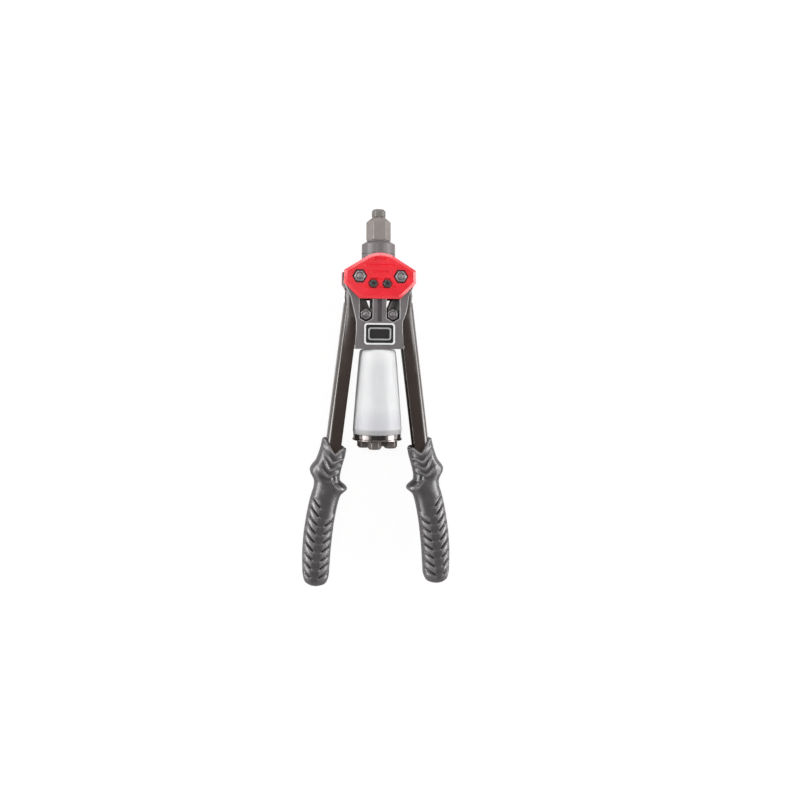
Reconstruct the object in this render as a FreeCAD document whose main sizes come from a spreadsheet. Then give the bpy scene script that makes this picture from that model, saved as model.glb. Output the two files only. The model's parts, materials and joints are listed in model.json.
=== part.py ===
"""Two-hand lever riveter: a parametric FreeCAD document of its separate pieces.

Frame of the model: millimetres, origin at the centre of the nosepiece mouth, +Y out of the
nose, +X to the right and +Z up out of the front cover, with the tool lying on its back.
Everything behind the mouth has a negative Y.
"""
import FreeCAD, Part
import Sketcher
import math
import os

from FreeCAD import Placement, Rotation, Vector

# Driving dimensions. Lengths are in millimetres and angles in degrees.
SIZES = {
    # nosepiece, screwed into the sleeve
    "tip_flats": 11.0,
    "tip_turned_radius": 6.1,
    "tip_head_length": 7.3,
    "tip_rim": 1.5,
    "tip_rim_radius": 4.9,
    "tip_shank_radius": 4.0,
    "tip_shank_length": 7.4,
    "tip_tail_length": 1.6,
    "tip_tail_radius": 2.9,
    "mandrel_bore_radius": 1.7,
    # hexagonal nose sleeve
    "sleeve_flats": 19.0,
    "sleeve_neck_radius": 6.3,
    "sleeve_bevel": 4.3,
    "sleeve_head_length": 20.3,
    "sleeve_back_bevel": 1.3,
    "sleeve_shank_radius": 9.0,
    "sleeve_shank_length": 17.0,
    "sleeve_front_wall": 8.0,
    # casting: round neck, two walls, foot block and spigot
    "neck_radius": 14.7,
    "neck_gap": 0.8,
    "neck_shoulder": 2.6,
    "neck_step": 4.2,
    "neck_end": 45.7,
    "wall_inner": 9.8,
    "wall_thickness": 4.0,
    "wing_half_width": 30.8,
    "wing_lower": 25.2,
    "wing_lower_at": 77.7,
    "waist_half_width": 20.4,
    "waist_from": 98.7,
    "waist_to": 108.1,
    "foot_half_width": 21.2,
    "foot_inner_half_width": 19.4,
    "foot_top": 112.7,
    "foot_end": 119.7,
    "lip_end": 122.8,
    "lip_step": 0.5,
    "slot_width": 11.4,
    "slot_back": 3.3,
    "groove_half_width": 2.0,
    "groove_depth": 1.2,
    "spigot_radius": 12.0,
    "spigot_length": 9.0,
    # cover plates
    "cover_thickness": 3.7,
    "cover_bevel": 1.6,
    "cover_half_width": 31.2,
    "cover_front": 39.7,
    "cover_arc_half_width": 10.8,
    "cover_arc_rise": 2.6,
    "cover_shoulder": 54.8,
    "cover_side_end": 66.0,
    "cover_end": 79.3,
    "cover_end_half_width": 17.5,
    "cover_overhang": 0.4,
    "pocket_clearance": 0.55,
    "screw_floor": 1.4,
    # arms, hinged on the pivot bolts
    "pivot_x": 17.85,
    "pivot_at": 60.1,
    "lobe_radius": 12.0,
    "lobe_out": 0.6,
    "lobe_back": 4.0,
    "arm_x": 20.7,
    "arm_tilt": 7.0,
    "arm_width": 13.2,
    "arm_sheet": 2.0,
    "arm_length": 252.0,
    "arm_open_from": 21.0,
    "crank_radius": 9.0,
    "crank_angle": 22.0,
    "crank_pin_radius": 2.5,
    # links between the arms and the crosshead
    "link_bolt_x": 11.8,
    "link_bolt_at": 92.85,
    "link_thickness": 3.0,
    "link_foot_radius": 5.5,
    "link_head_radius": 4.8,
    "crank_clearance": 0.75,
    # crosshead with the pull rod
    "lug_thickness": 8.0,
    "lug_radius": 5.8,
    "hub_radius": 7.0,
    "hub_front": 85.7,
    "hub_length": 14.0,
    "rod_radius": 4.5,
    "rod_bore_radius": 3.1,
    "rod_end": 129.7,
    "lock_nut_flats": 13.0,
    "lock_nut_length": 4.0,
    # jaw case and what it holds
    "case_radius": 6.8,
    "case_front": 26.1,
    "case_length": 30.0,
    "case_mouth_radius": 3.3,
    "case_cone_from": 1.4,
    "case_cone_length": 12.0,
    "case_bore_radius": 5.6,
    "case_thread_length": 5.0,
    "case_edge": 0.7,
    "jaw_length": 10.0,
    "jaw_setback": 2.6,
    "jaw_grip_radius": 1.5,
    "jaw_split": 0.5,
    "pusher_collar_length": 4.0,
    "pusher_taper": 0.3,
    "pusher_stem_radius": 2.8,
    "pusher_stem_length": 4.0,
    "pusher_bore_radius": 1.9,
    "spring_wire_radius": 0.4,
    "spring_pitch": 1.9,
    # fasteners
    "bolt_radius": 3.0,
    "bolt_flats": 10.0,
    "bolt_head": 4.0,
    "nut_height": 4.5,
    "screw_radius": 2.0,
    "screw_flats": 7.0,
    "screw_head": 2.8,
    "recess_span": 4.2,
    "recess_width": 1.0,
    "recess_depth": 1.4,
    "screw_x": 6.0,
    "screw_at": 66.4,
    "thread_seat": 0.2,
    # name plate
    "badge_half_width": 13.4,
    "badge_half_height": 9.35,
    "badge_at": 109.7,
    "badge_thickness": 0.7,
    "badge_corner": 2.6,
    # collecting bottle with its base
    "bottle_front_gap": 0.3,
    "bottle_lip_radius": 13.6,
    "bottle_shoulder_radius": 16.6,
    "bottle_shoulder_length": 6.8,
    "bottle_end_step": 0.1,
    "bottle_heel_over": 0.5,
    "bottle_heel": 4.5,
    "bottle_end": 197.1,
    "bottle_wall": 1.6,
    "base_band_radius": 21.0,
    "base_band_length": 4.3,
    "base_flange_over": 0.9,
    "base_flange_length": 1.2,
    "base_plug_length": 3.4,
    "spare_inset": 9.2,
    "spare_turn": -17.0,
    # rubber grips
    "grip_half_height": 12.2,
    "grip_corner": 6.0,
    # clearances
    "running_clearance": 0.05,
    "sliding_clearance": 0.3,
    "jaw_clearance": 0.1,
}

# The grip's outline along the right arm: distance behind the pivot height, inner edge and outer
# edge, each measured across the arm from its centre line.
GRIP_STATIONS = {
    "collar": (147.0, 11.6, 10.4),
    "waist": (159.0, 11.5, 12.6),
    "thumb_rest": (171.0, 9.8, 17.8),
    "thumb_neck": (180.5, 13.6, 12.9),
    "finger_guard": (185.0, 16.6, 12.6),
    "palm_top": (196.0, 11.2, 14.2),
    "palm_front": (210.0, 10.0, 15.4),
    "palm": (226.0, 9.5, 15.9),
    "palm_back": (246.0, 10.2, 14.9),
    "heel": (262.0, 11.0, 12.4),
    "end": (270.5, 8.0, 8.0),
}
for station, (distance, inner, outer) in GRIP_STATIONS.items():
    SIZES[f"{station}_at"] = distance
    SIZES[f"{station}_inner"] = inner
    SIZES[f"{station}_outer"] = outer
SIZES["end_squeeze"] = 3.6
SIZES["spring_end_gap"] = 0.3
SPARE_COUNT = 4
JAW_COUNT = 3


class Term:
    """A number together with the sheet expression that gives it."""

    def __init__(self, text, value):
        self.text = text
        self.value = float(value)

    def __add__(self, other):
        return joined(self, "+", other)

    def __radd__(self, other):
        return joined(other, "+", self)

    def __sub__(self, other):
        return joined(self, "-", other)

    def __rsub__(self, other):
        return joined(other, "-", self)

    def __mul__(self, other):
        return joined(self, "*", other)

    def __rmul__(self, other):
        return joined(other, "*", self)

    def __truediv__(self, other):
        return joined(self, "/", other)

    def __neg__(self):
        return joined(-1, "*", self)


OPERATIONS = {
    "+": lambda a, b: a + b,
    "-": lambda a, b: a - b,
    "*": lambda a, b: a * b,
    "/": lambda a, b: a / b,
}


def term(number):
    """A Term for a plain number; a Term is passed through."""
    return number if isinstance(number, Term) else Term(repr(float(number)), number)


def joined(left, sign, right):
    left = term(left)
    right = term(right)
    return Term(f"({left.text} {sign} {right.text})", OPERATIONS[sign](left.value, right.value))


def sine(angle):
    return Term(f"sin({angle.text})", math.sin(math.radians(angle.value)))


def cosine(angle):
    return Term(f"cos({angle.text})", math.cos(math.radians(angle.value)))


def root(number):
    return Term(f"sqrt({number.text})", math.sqrt(number.value))


doc = FreeCAD.newDocument("hand_riveter")


class Sheet:
    """The spreadsheet of driving dimensions, read as attributes."""

    def __init__(self, title, numbers):
        self.cells = doc.addObject("Spreadsheet::Sheet", title)
        for row, (alias, number) in enumerate(numbers.items(), start=1):
            self.cells.set(f"A{row}", alias)
            self.cells.set(f"B{row}", repr(number))
            self.cells.setAlias(f"B{row}", alias)
            setattr(self, alias, Term(f"{title}.{alias}", number))


S = Sheet("Sizes", SIZES)
doc.recompute()

NODES = []


def node(thing, label):
    """Give a finished sub-part its name and note it for export."""
    thing.Label = label
    NODES.append(thing)
    return thing


def bind(thing, path, number):
    """Tie a property to the sheet."""
    number = term(number)
    thing.setExpression(path, number.text)


def put(thing, x, y, z, turn=None):
    """Place an object, its position tied to the sheet."""
    spot = [term(x), term(y), term(z)]
    thing.Placement = Placement(Vector(*[axis.value for axis in spot]), turn or Rotation())
    for axis, number in zip("xyz", spot):
        bind(thing, f".Placement.Base.{axis}", number)
    return thing


TO_BACK = Rotation(Vector(1, 0, 0), 90)
POINT_TO_NOSE = Rotation(Vector(0, 0, 1), 90)


# ---------------------------------------------------------------- primitives and booleans
def cylinder(radius, length, x, y, z, turn=None):
    thing = doc.addObject("Part::Cylinder", "round_stock")
    bind(thing, "Radius", radius)
    bind(thing, "Height", length)
    return put(thing, x, y, z, turn)


def box(x_size, y_size, z_size, x, y, z):
    thing = doc.addObject("Part::Box", "block")
    bind(thing, "Length", x_size)
    bind(thing, "Width", y_size)
    bind(thing, "Height", z_size)
    return put(thing, x, y, z)


def hexagon_bar(flats, length, x, y, z, turn=None):
    thing = doc.addObject("Part::Prism", "hex_bar")
    thing.Polygon = 6
    bind(thing, "Circumradius", flats / math.sqrt(3))
    bind(thing, "Height", length)
    return put(thing, x, y, z, turn)


def fused(*things):
    result = doc.addObject("Part::MultiFuse", "joined")
    result.Shapes = list(things)
    return result


def shared(*things):
    result = doc.addObject("Part::MultiCommon", "shared")
    result.Shapes = list(things)
    return result


def cut(base, *tools):
    result = doc.addObject("Part::Cut", "cut")
    result.Base = base
    result.Tool = tools[0] if len(tools) == 1 else fused(*tools)
    return result


def mirrored(source, label):
    """The same piece on the left side."""
    result = doc.addObject("Part::Mirroring", "other_side")
    result.Source = source
    result.Normal = Vector(1, 0, 0)
    return node(result, label)


def flipped(source):
    """The same shape on the rear side."""
    result = doc.addObject("Part::Mirroring", "rear_side")
    result.Source = source
    result.Normal = Vector(0, 0, 1)
    return result


# ---------------------------------------------------------------- sketched bodies
def origin_plane(body, role):
    return next(item for item in body.Origin.OriginFeatures if item.Role == role)


def arc_edge(start, end, radius):
    """An arc from start to end; a positive radius bulges to the right of the way."""
    way = end - start
    middle = (start + end) * 0.5
    side = Vector(way.y, -way.x, 0).normalize()
    reach = abs(radius)
    lift = math.sqrt(reach ** 2 - (way.Length / 2) ** 2)
    bulge = 1 if radius > 0 else -1
    centre = middle - side * lift * bulge
    top = centre + side * reach * bulge
    return Part.Arc(start, top, end)


def outline(sketch, points):
    """Close a loop through points, each tied to the sheet.

    A point is (x, y) or (x, y, radius), where the radius rounds the way to the next point.
    """
    spots = [Vector(term(p[0]).value, term(p[1]).value, 0) for p in points]
    first = sketch.GeometryCount
    count = len(points)
    for i, point in enumerate(points):
        start = spots[i]
        end = spots[(i + 1) % count]
        if len(point) == 3:
            sketch.addGeometry(arc_edge(start, end, point[2].value))
        else:
            sketch.addGeometry(Part.LineSegment(start, end))
    starts = []
    for i in range(count):
        edge = first + i
        start_point = sketch.getPoint(edge, 1)
        starts.append(1 if start_point.distanceToPoint(spots[i]) < 1e-6 else 2)
    for i, point in enumerate(points):
        edge = first + i
        following = (i + 1) % count
        sketch.addConstraint(Sketcher.Constraint(
            "Coincident", edge, 3 - starts[i], first + following, starts[following]))
        for kind, axis, number in (("DistanceX", -2, point[0]), ("DistanceY", -1, point[1])):
            number = term(number)
            if abs(number.value) < 1e-9:
                sketch.addConstraint(Sketcher.Constraint(
                    "PointOnObject", edge, starts[i], axis))
                continue
            index = sketch.addConstraint(Sketcher.Constraint(
                kind, -1, 1, edge, starts[i], number.value))
            sketch.setExpression(f"Constraints[{index}]", number.text)
        if len(point) == 3:
            index = sketch.addConstraint(Sketcher.Constraint(
                "Radius", edge, abs(point[2].value)))
            sketch.setExpression(f"Constraints[{index}]", f"abs({point[2].text})")


def sketch_in(body, role, points, offset=0):
    sketch = body.newObject("Sketcher::SketchObject", "outline")
    sketch.AttachmentSupport = [(origin_plane(body, role), "")]
    sketch.MapMode = "FlatFace"
    bind(sketch, ".AttachmentOffset.Base.z", offset)
    outline(sketch, points)
    return sketch


def plate(points, low, high):
    """A plate of the given outline between two heights."""
    body = doc.addObject("PartDesign::Body", "plate")
    sketch = sketch_in(body, "XY_Plane", points, low)
    pad = body.newObject("PartDesign::Pad", "thickness")
    pad.Profile = sketch
    bind(pad, "Length", high - low)
    return body


def turned(profile):
    """A piece turned about the tool's long axis; its profile is (radius, y) points."""
    body = doc.addObject("PartDesign::Body", "turned")
    sketch = sketch_in(body, "XY_Plane", profile)
    revolution = body.newObject("PartDesign::Revolution", "turn")
    revolution.Profile = sketch
    revolution.ReferenceAxis = (sketch, ["V_Axis"])
    revolution.Angle = 360
    return body


def symmetric(right_side):
    """An outline from its right-hand points, listed from the nose back."""
    right = list(right_side)
    left = [(-p[0], p[1]) for p in reversed(right) if term(p[0]).value > 1e-9]
    return right + left


# ---------------------------------------------------------------- shared places
def threaded_tip(mouth, direction=1):
    """A nosepiece whose mouth lies at the given Y, pointing to the nose or away from it."""
    head = mouth - S.tip_head_length * direction
    shank = head - S.tip_shank_length * direction
    tail = shank - S.tip_tail_length * direction
    profile = [
        (S.mandrel_bore_radius, mouth),
        (S.tip_rim_radius, mouth),
        (S.tip_turned_radius, mouth - S.tip_rim * direction),
        (S.tip_turned_radius, head),
        (S.tip_shank_radius, head),
        (S.tip_shank_radius, shank),
        (S.tip_tail_radius, tail),
        (S.mandrel_bore_radius, tail),
    ]
    full = S.tip_head_length + S.tip_shank_length + S.tip_tail_length
    back = tail if direction > 0 else mouth
    bar = hexagon_bar(S.tip_flats, full, 0, back + full, 0, TO_BACK)
    return shared(turned(profile), bar)


WALL_OUTER = S.wall_inner + S.wall_thickness
COVER_OUTER = WALL_OUTER + S.cover_thickness
CHEEK_OUTER = S.wall_inner - S.sliding_clearance
CHEEK_INNER = CHEEK_OUTER - S.arm_sheet
PIN_BORE = S.bolt_radius + S.running_clearance

sleeve_back = -(S.tip_head_length + S.sleeve_head_length)
neck_front = sleeve_back - S.neck_gap
sleeve_bore = S.case_radius + S.sliding_clearance
case_back = -(S.case_front + S.case_length)
rod_front = case_back + S.case_thread_length
pivot_y = -S.pivot_at
link_y = -S.link_bolt_at
crank_x = S.pivot_x + S.crank_radius * sine(S.crank_angle)
crank_y = pivot_y - S.crank_radius * cosine(S.crank_angle)
link_low = S.lug_thickness / 2 + S.sliding_clearance / 2
link_high = link_low + S.link_thickness
head_seat = link_high + S.sliding_clearance
slot_side = S.link_bolt_x + S.slot_width / 2
pillar_side = S.link_bolt_x - S.slot_width / 2
slot_corner = link_y - S.slot_back
slot_point = slot_corner - S.slot_width / (2 * math.sqrt(3))


# ---------------------------------------------------------------- nose
def build_nose():
    node(threaded_tip(term(0)), "nosepiece")
    corner = S.sleeve_flats / math.sqrt(3)
    front = -S.tip_head_length
    chamber = front - S.sleeve_front_wall
    shank_end = sleeve_back - S.sleeve_shank_length
    profile = [
        (S.tip_shank_radius, front),
        (S.sleeve_neck_radius, front),
        (corner, front - S.sleeve_bevel),
        (corner, sleeve_back + S.sleeve_back_bevel),
        (corner - S.sleeve_back_bevel, sleeve_back),
        (S.sleeve_shank_radius, sleeve_back),
        (S.sleeve_shank_radius, shank_end),
        (sleeve_bore, shank_end),
        (sleeve_bore, chamber),
        (S.tip_shank_radius, chamber),
    ]
    full = S.sleeve_head_length + S.sleeve_shank_length
    bar = hexagon_bar(S.sleeve_flats, full, 0, front, 0, TO_BACK)
    node(shared(turned(profile), bar), "nose_sleeve")


# ---------------------------------------------------------------- casting
def wall_outline():
    """The casting's wall: wings under the cover, a hollow waist and a flared foot."""
    inset = S.cover_overhang
    return symmetric([
        (S.cover_arc_half_width, -(S.cover_front + S.cover_arc_rise + inset)),
        (S.wing_half_width, -(S.cover_shoulder + inset)),
        (S.wing_half_width, -S.cover_side_end),
        (S.wing_lower, -S.wing_lower_at, -waist_radius()),
        (S.waist_half_width, -S.waist_from),
        (S.waist_half_width, -S.waist_to),
        (S.foot_half_width, -S.foot_end),
    ])


def waist_radius():
    """The radius that leaves the waist's side tangent to the tool's long axis."""
    rise = S.wing_lower - S.waist_half_width
    run = S.waist_from - S.wing_lower_at
    return (rise * rise + run * run) / (2 * rise)


def slot(low, high):
    """The window in a wall that shows one link bolt."""
    front = -(S.pivot_at + S.bolt_flats)
    return plate([
        (pillar_side, front),
        (slot_side, front),
        (slot_side, slot_corner),
        (S.link_bolt_x, slot_point),
        (pillar_side, slot_corner),
    ], low, high)


def build_casting():
    neck = turned([
        (S.sleeve_shank_radius, neck_front),
        (S.neck_radius - S.neck_step, neck_front),
        (S.neck_radius, neck_front - S.neck_shoulder),
        (S.neck_radius, -(S.cover_front - S.cover_overhang)),
        (WALL_OUTER, -(S.cover_front - S.cover_overhang)),
        (WALL_OUTER, -S.neck_end),
        (sleeve_bore, -S.neck_end),
        (sleeve_bore, sleeve_back - S.sleeve_shank_length),
        (S.sleeve_shank_radius, sleeve_back - S.sleeve_shank_length),
    ])
    front_wall = plate(wall_outline(), S.wall_inner, WALL_OUTER)
    shoulder = plate(symmetric([
        (S.cover_arc_half_width, -(S.cover_front + S.cover_arc_rise + S.cover_overhang)),
        (S.cover_arc_half_width + S.neck_end - S.cover_front - S.cover_arc_rise,
         -S.neck_end),
    ]), -S.wall_inner, S.wall_inner)
    foot = box(2 * S.foot_inner_half_width, S.lip_end - S.foot_top, 2 * S.wall_inner,
               -S.foot_inner_half_width, -S.lip_end, -S.wall_inner)
    lip_half = WALL_OUTER + S.lip_step
    lip_side = S.foot_half_width + S.lip_step
    lip = box(2 * lip_side, S.lip_end - S.foot_end, lip_half - S.wall_inner,
              -lip_side, -S.lip_end, S.wall_inner)
    spigot = cylinder(S.spigot_radius, S.spigot_length, 0, -S.lip_end, 0, TO_BACK)
    right_slot = slot(S.wall_inner, WALL_OUTER)
    left_slot = doc.addObject("Part::Mirroring", "left_slot")
    left_slot.Source = right_slot
    left_slot.Normal = Vector(1, 0, 0)
    groove = box(2 * S.groove_half_width, S.waist_from - S.pivot_at, S.groove_depth,
                 -S.groove_half_width, -S.waist_from, WALL_OUTER - S.groove_depth)
    front_half = cut(fused(front_wall, lip), right_slot, left_slot, groove,
                     *wall_holes())
    chamber = cylinder(S.sleeve_shank_radius, S.neck_end, 0, 0, 0, TO_BACK)
    rod_way = cylinder(S.rod_radius + S.running_clearance, S.spigot_length + S.lip_end,
                       0, 0, 0, TO_BACK)
    skirt = shared(
        cylinder(S.neck_radius, S.neck_end - S.cover_front, 0, -S.cover_front, 0, TO_BACK),
        box(2 * S.neck_radius, S.neck_end - S.cover_front, 2 * WALL_OUTER,
            -S.neck_radius, -S.neck_end, -WALL_OUTER))
    shoulder_open = cut(fused(shoulder, skirt), chamber)
    foot_open = cut(fused(foot, spigot), rod_way)
    casting = fused(neck, front_half, flipped(front_half), shoulder_open, foot_open)
    sleeve_room = shared(chamber, cylinder(sleeve_bore, S.neck_end, 0, 0, 0, TO_BACK))
    return node(cut(casting, sleeve_room), "frame")


def wall_holes():
    """Bolt holes on both sides and threaded screw holes through one wall."""
    holes = []
    for side in (1, -1):
        holes.append(cylinder(S.bolt_radius, S.wall_thickness,
                              S.pivot_x * side, pivot_y, S.wall_inner))
        holes.append(cylinder(S.screw_radius, S.wall_thickness,
                              S.screw_x * side, -S.screw_at, S.wall_inner))
    return holes


# ---------------------------------------------------------------- covers
def cover_outline(inset):
    """The cover's edge, moved in by an inset."""
    rise = S.cover_arc_rise
    half = S.cover_arc_half_width - inset / 2
    radius = (half * half + rise * rise) / (2 * rise)
    front = -(S.cover_front + inset)
    right = [
        (half, front - rise),
        (S.cover_half_width - inset, -(S.cover_shoulder + inset / 2)),
        (S.cover_half_width - inset, -(S.cover_side_end - inset / 2)),
        (S.cover_end_half_width - inset / 2, -(S.cover_end - inset)),
    ]
    left = [(-x, y) for x, y in reversed(right)]
    left[-1] = left[-1] + (-radius,)
    return right + left


def build_cover():
    """A bevelled plate with hexagonal pockets for the bolt heads and the screws."""
    edge = COVER_OUTER - S.cover_bevel
    base = plate(cover_outline(term(0)), WALL_OUTER, edge)
    top = doc.addObject("Part::Loft", "bevel")
    top.Sections = [free_sketch(cover_outline(term(0)), edge),
                    free_sketch(cover_outline(S.cover_bevel), COVER_OUTER)]
    top.Solid = True
    top.Ruled = True
    tools = []
    screw_seat = WALL_OUTER + S.screw_floor
    for side in (1, -1):
        tools.append(hexagon_bar(
            S.bolt_flats + 2 * S.pocket_clearance, S.cover_thickness,
            S.pivot_x * side, pivot_y, WALL_OUTER))
        tools.append(hexagon_bar(
            S.screw_flats + 2 * S.pocket_clearance, S.cover_thickness - S.screw_floor,
            S.screw_x * side, -S.screw_at, screw_seat))
        tools.append(cylinder(S.screw_radius, S.screw_floor,
                              S.screw_x * side, -S.screw_at, WALL_OUTER))
    front = node(cut(fused(base, top), *tools), "front_cover")
    node(flipped(front), "rear_cover")


def free_sketch(points, height):
    sketch = doc.addObject("Sketcher::SketchObject", "section")
    outline(sketch, points)
    bind(sketch, ".Placement.Base.z", height)
    return sketch


# ---------------------------------------------------------------- fasteners
def bolt(x, y, seat, end, turn=None):
    """A hexagon bolt whose head seats at one height and whose shank ends at another."""
    head = hexagon_bar(S.bolt_flats, S.bolt_head, x, y, seat, turn)
    return fused(head, cylinder(S.bolt_radius, seat - end, x, y, end))


def nut(x, y, seat, turn=None):
    """A nut that seats against a rear face at the given height and reaches down."""
    blank = hexagon_bar(S.bolt_flats, S.nut_height, x, y, seat - S.nut_height, turn)
    return cut(blank, cylinder(S.bolt_radius, S.nut_height, x, y, seat - S.nut_height))


def build_fasteners():
    pivot_bolt = node(bolt(S.pivot_x, pivot_y, WALL_OUTER, -(WALL_OUTER + S.nut_height)),
                      "right_pivot_bolt")
    mirrored(pivot_bolt, "left_pivot_bolt")
    pivot_nut = node(nut(S.pivot_x, pivot_y, -WALL_OUTER), "right_pivot_nut")
    mirrored(pivot_nut, "left_pivot_nut")
    seat = WALL_OUTER + S.screw_floor
    head = hexagon_bar(S.screw_flats, S.screw_head, S.screw_x, -S.screw_at, seat)
    shank_length = S.screw_floor + S.wall_thickness
    shank = cylinder(S.screw_radius, shank_length, S.screw_x, -S.screw_at,
                     seat - shank_length)
    cross = cut_cross(seat + S.screw_head)
    screw = node(cut(fused(head, shank), *cross), "right_front_screw")
    mirrored(screw, "left_front_screw")
    rear = node(flipped(screw), "right_rear_screw")
    mirrored(rear, "left_rear_screw")


def cut_cross(top):
    """The two crossed slots of a screw's recess."""
    span = S.recess_span
    width = S.recess_width
    floor = top - S.recess_depth
    return [
        box(span, width, S.recess_depth, S.screw_x - span / 2, -S.screw_at - width / 2, floor),
        box(width, span, S.recess_depth, S.screw_x - width / 2, -S.screw_at - span / 2, floor),
    ]


# ---------------------------------------------------------------- arms
def along(distance, across):
    """A point of the right arm: distance along it and across it, outward."""
    tilt = S.arm_tilt
    x = S.arm_x + distance * sine(tilt) + across * cosine(tilt)
    y = pivot_y - distance * cosine(tilt) + across * sine(tilt)
    return x, y


def arm_bar(start, end, inner, outer, low, high):
    return plate([
        along(start, inner),
        along(start, outer),
        along(end, outer),
        along(end, inner),
    ], low, high)


def build_arms():
    """Folded channels: two cheeks round the pivot, joined by a web on the outer side."""
    half = S.arm_width / 2
    beyond = S.lobe_radius * 2
    height = CHEEK_OUTER * 2
    lobe = cylinder(S.lobe_radius, height, S.pivot_x + S.lobe_out, pivot_y - S.lobe_back,
                    -CHEEK_OUTER)
    bar = arm_bar(term(0), S.arm_length, -half, half, -CHEEK_OUTER, CHEEK_OUTER)
    hollow = arm_bar(-beyond, S.arm_length + S.arm_sheet, -beyond, half - S.arm_sheet,
                     -CHEEK_INNER, CHEEK_INNER)
    head_room = arm_bar(-beyond, S.arm_open_from, -half, beyond, -CHEEK_INNER, CHEEK_INNER)
    pivot_hole = cylinder(PIN_BORE, height, S.pivot_x, pivot_y, -CHEEK_OUTER)
    crank_hole = cylinder(S.crank_pin_radius, height, crank_x, crank_y, -CHEEK_OUTER)
    right = node(cut(fused(lobe, bar), hollow, head_room, pivot_hole, crank_hole), "right_arm")
    mirrored(right, "left_arm")
    pin = cylinder(S.crank_pin_radius, height, crank_x, crank_y, -CHEEK_OUTER)
    mirrored(node(pin, "right_crank_pin"), "left_crank_pin")
    return right


def grip_section(distance, inner, outer, squeeze):
    """A rounded rectangle across the arm."""
    centre = (outer - inner) / 2
    half = (outer + inner) / 2
    height = S.grip_half_height - squeeze
    corner = S.grip_corner
    sketch = doc.addObject("Sketcher::SketchObject", "grip_section")
    outline(sketch, [
        (half - corner, height, -corner),
        (half, height - corner),
        (half, corner - height, -corner),
        (half - corner, -height),
        (corner - half, -height, -corner),
        (-half, corner - height),
        (-half, height - corner, -corner),
        (corner - half, height),
    ])
    x, y = along(distance, centre)
    sketch.setExpression(
        "Placement",
        f"placement(vector({x.text}; {y.text}; 0); rotation(Sizes.arm_tilt; 0; 90))")
    return sketch


def build_grips(arm):
    """Rubber moulded over the arm's end and into its channel."""
    sections = []
    for station in GRIP_STATIONS:
        squeeze = S.end_squeeze if station == "end" else term(0)
        sections.append(grip_section(getattr(S, f"{station}_at"), getattr(S, f"{station}_inner"),
                                     getattr(S, f"{station}_outer"), squeeze))
    skin = doc.addObject("Part::Loft", "grip_skin")
    skin.Sections = sections
    skin.Solid = True
    skin.Ruled = True
    mirrored(node(cut(skin, arm), "right_grip"), "left_grip")


# ---------------------------------------------------------------- links
def build_links():
    """Two flat links on each side, from the crank pin down to the link bolt."""
    reach_x = crank_x - S.link_bolt_x
    reach_y = crank_y - link_y
    length = root(reach_x * reach_x + reach_y * reach_y)
    across_x = reach_y / length
    across_y = -(reach_x / length)
    foot_x = S.link_foot_radius * across_x
    foot_y = S.link_foot_radius * across_y
    head_x = S.link_head_radius * across_x
    head_y = S.link_head_radius * across_y
    strap = plate([
        (S.link_bolt_x - foot_x, link_y - foot_y),
        (S.link_bolt_x + foot_x, link_y + foot_y),
        (crank_x + head_x, crank_y + head_y),
        (crank_x - head_x, crank_y - head_y),
    ], link_low, link_high)
    foot = cylinder(S.link_foot_radius, S.link_thickness, S.link_bolt_x, link_y, link_low)
    head = cylinder(S.link_head_radius, S.link_thickness, crank_x, crank_y, link_low)
    foot_hole = cylinder(PIN_BORE, S.link_thickness, S.link_bolt_x, link_y, link_low)
    head_hole = cylinder(S.crank_pin_radius + S.crank_clearance, S.link_thickness,
                         crank_x, crank_y, link_low)
    front = node(cut(fused(strap, foot, head), foot_hole, head_hole), "right_front_link")
    mirrored(front, "left_front_link")
    rear = node(flipped(front), "right_rear_link")
    mirrored(rear, "left_rear_link")


# ---------------------------------------------------------------- crosshead and rod
def build_crosshead():
    half = S.lug_thickness / 2
    hub = cylinder(S.hub_radius, S.hub_length, 0, -S.hub_front, 0, TO_BACK)
    beam = box(2 * S.link_bolt_x, 2 * S.lug_radius, S.lug_thickness,
               -S.link_bolt_x, link_y - S.lug_radius, -half)
    ears = [cylinder(S.lug_radius, S.lug_thickness, S.link_bolt_x * side, link_y, -half)
            for side in (1, -1)]
    bores = [cylinder(S.bolt_radius, S.lug_thickness, S.link_bolt_x * side, link_y, -half)
             for side in (1, -1)]
    rod_hole = cylinder(S.rod_radius, S.hub_length, 0, -S.hub_front, 0, TO_BACK)
    node(cut(fused(hub, beam, *ears), rod_hole, *bores), "crosshead")
    rod = turned([
        (S.rod_bore_radius, rod_front),
        (S.case_bore_radius, rod_front),
        (S.case_bore_radius, case_back),
        (S.rod_radius, case_back),
        (S.rod_radius, -S.rod_end),
        (S.rod_bore_radius, -S.rod_end),
    ])
    node(rod, "pull_rod")
    front = case_back - S.thread_seat
    blank = hexagon_bar(S.lock_nut_flats, S.lock_nut_length, 0, front, 0, TO_BACK)
    node(cut(blank, cylinder(S.rod_radius, S.lock_nut_length, 0, front, 0, TO_BACK)),
         "lock_nut")
    link_bolt = node(bolt(S.link_bolt_x, link_y, head_seat, -(head_seat + S.nut_height),
                          POINT_TO_NOSE),
                     "right_link_bolt")
    mirrored(link_bolt, "left_link_bolt")
    link_nut = node(nut(S.link_bolt_x, link_y, -head_seat, POINT_TO_NOSE), "right_link_nut")
    mirrored(link_nut, "left_link_nut")


# ---------------------------------------------------------------- jaw case
def cone_radius(depth):
    """The case's conical bore at a depth behind its front end."""
    slope = (S.case_bore_radius - S.case_mouth_radius) / S.case_cone_length
    return S.case_mouth_radius + (depth - S.case_cone_from) * slope


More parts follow.
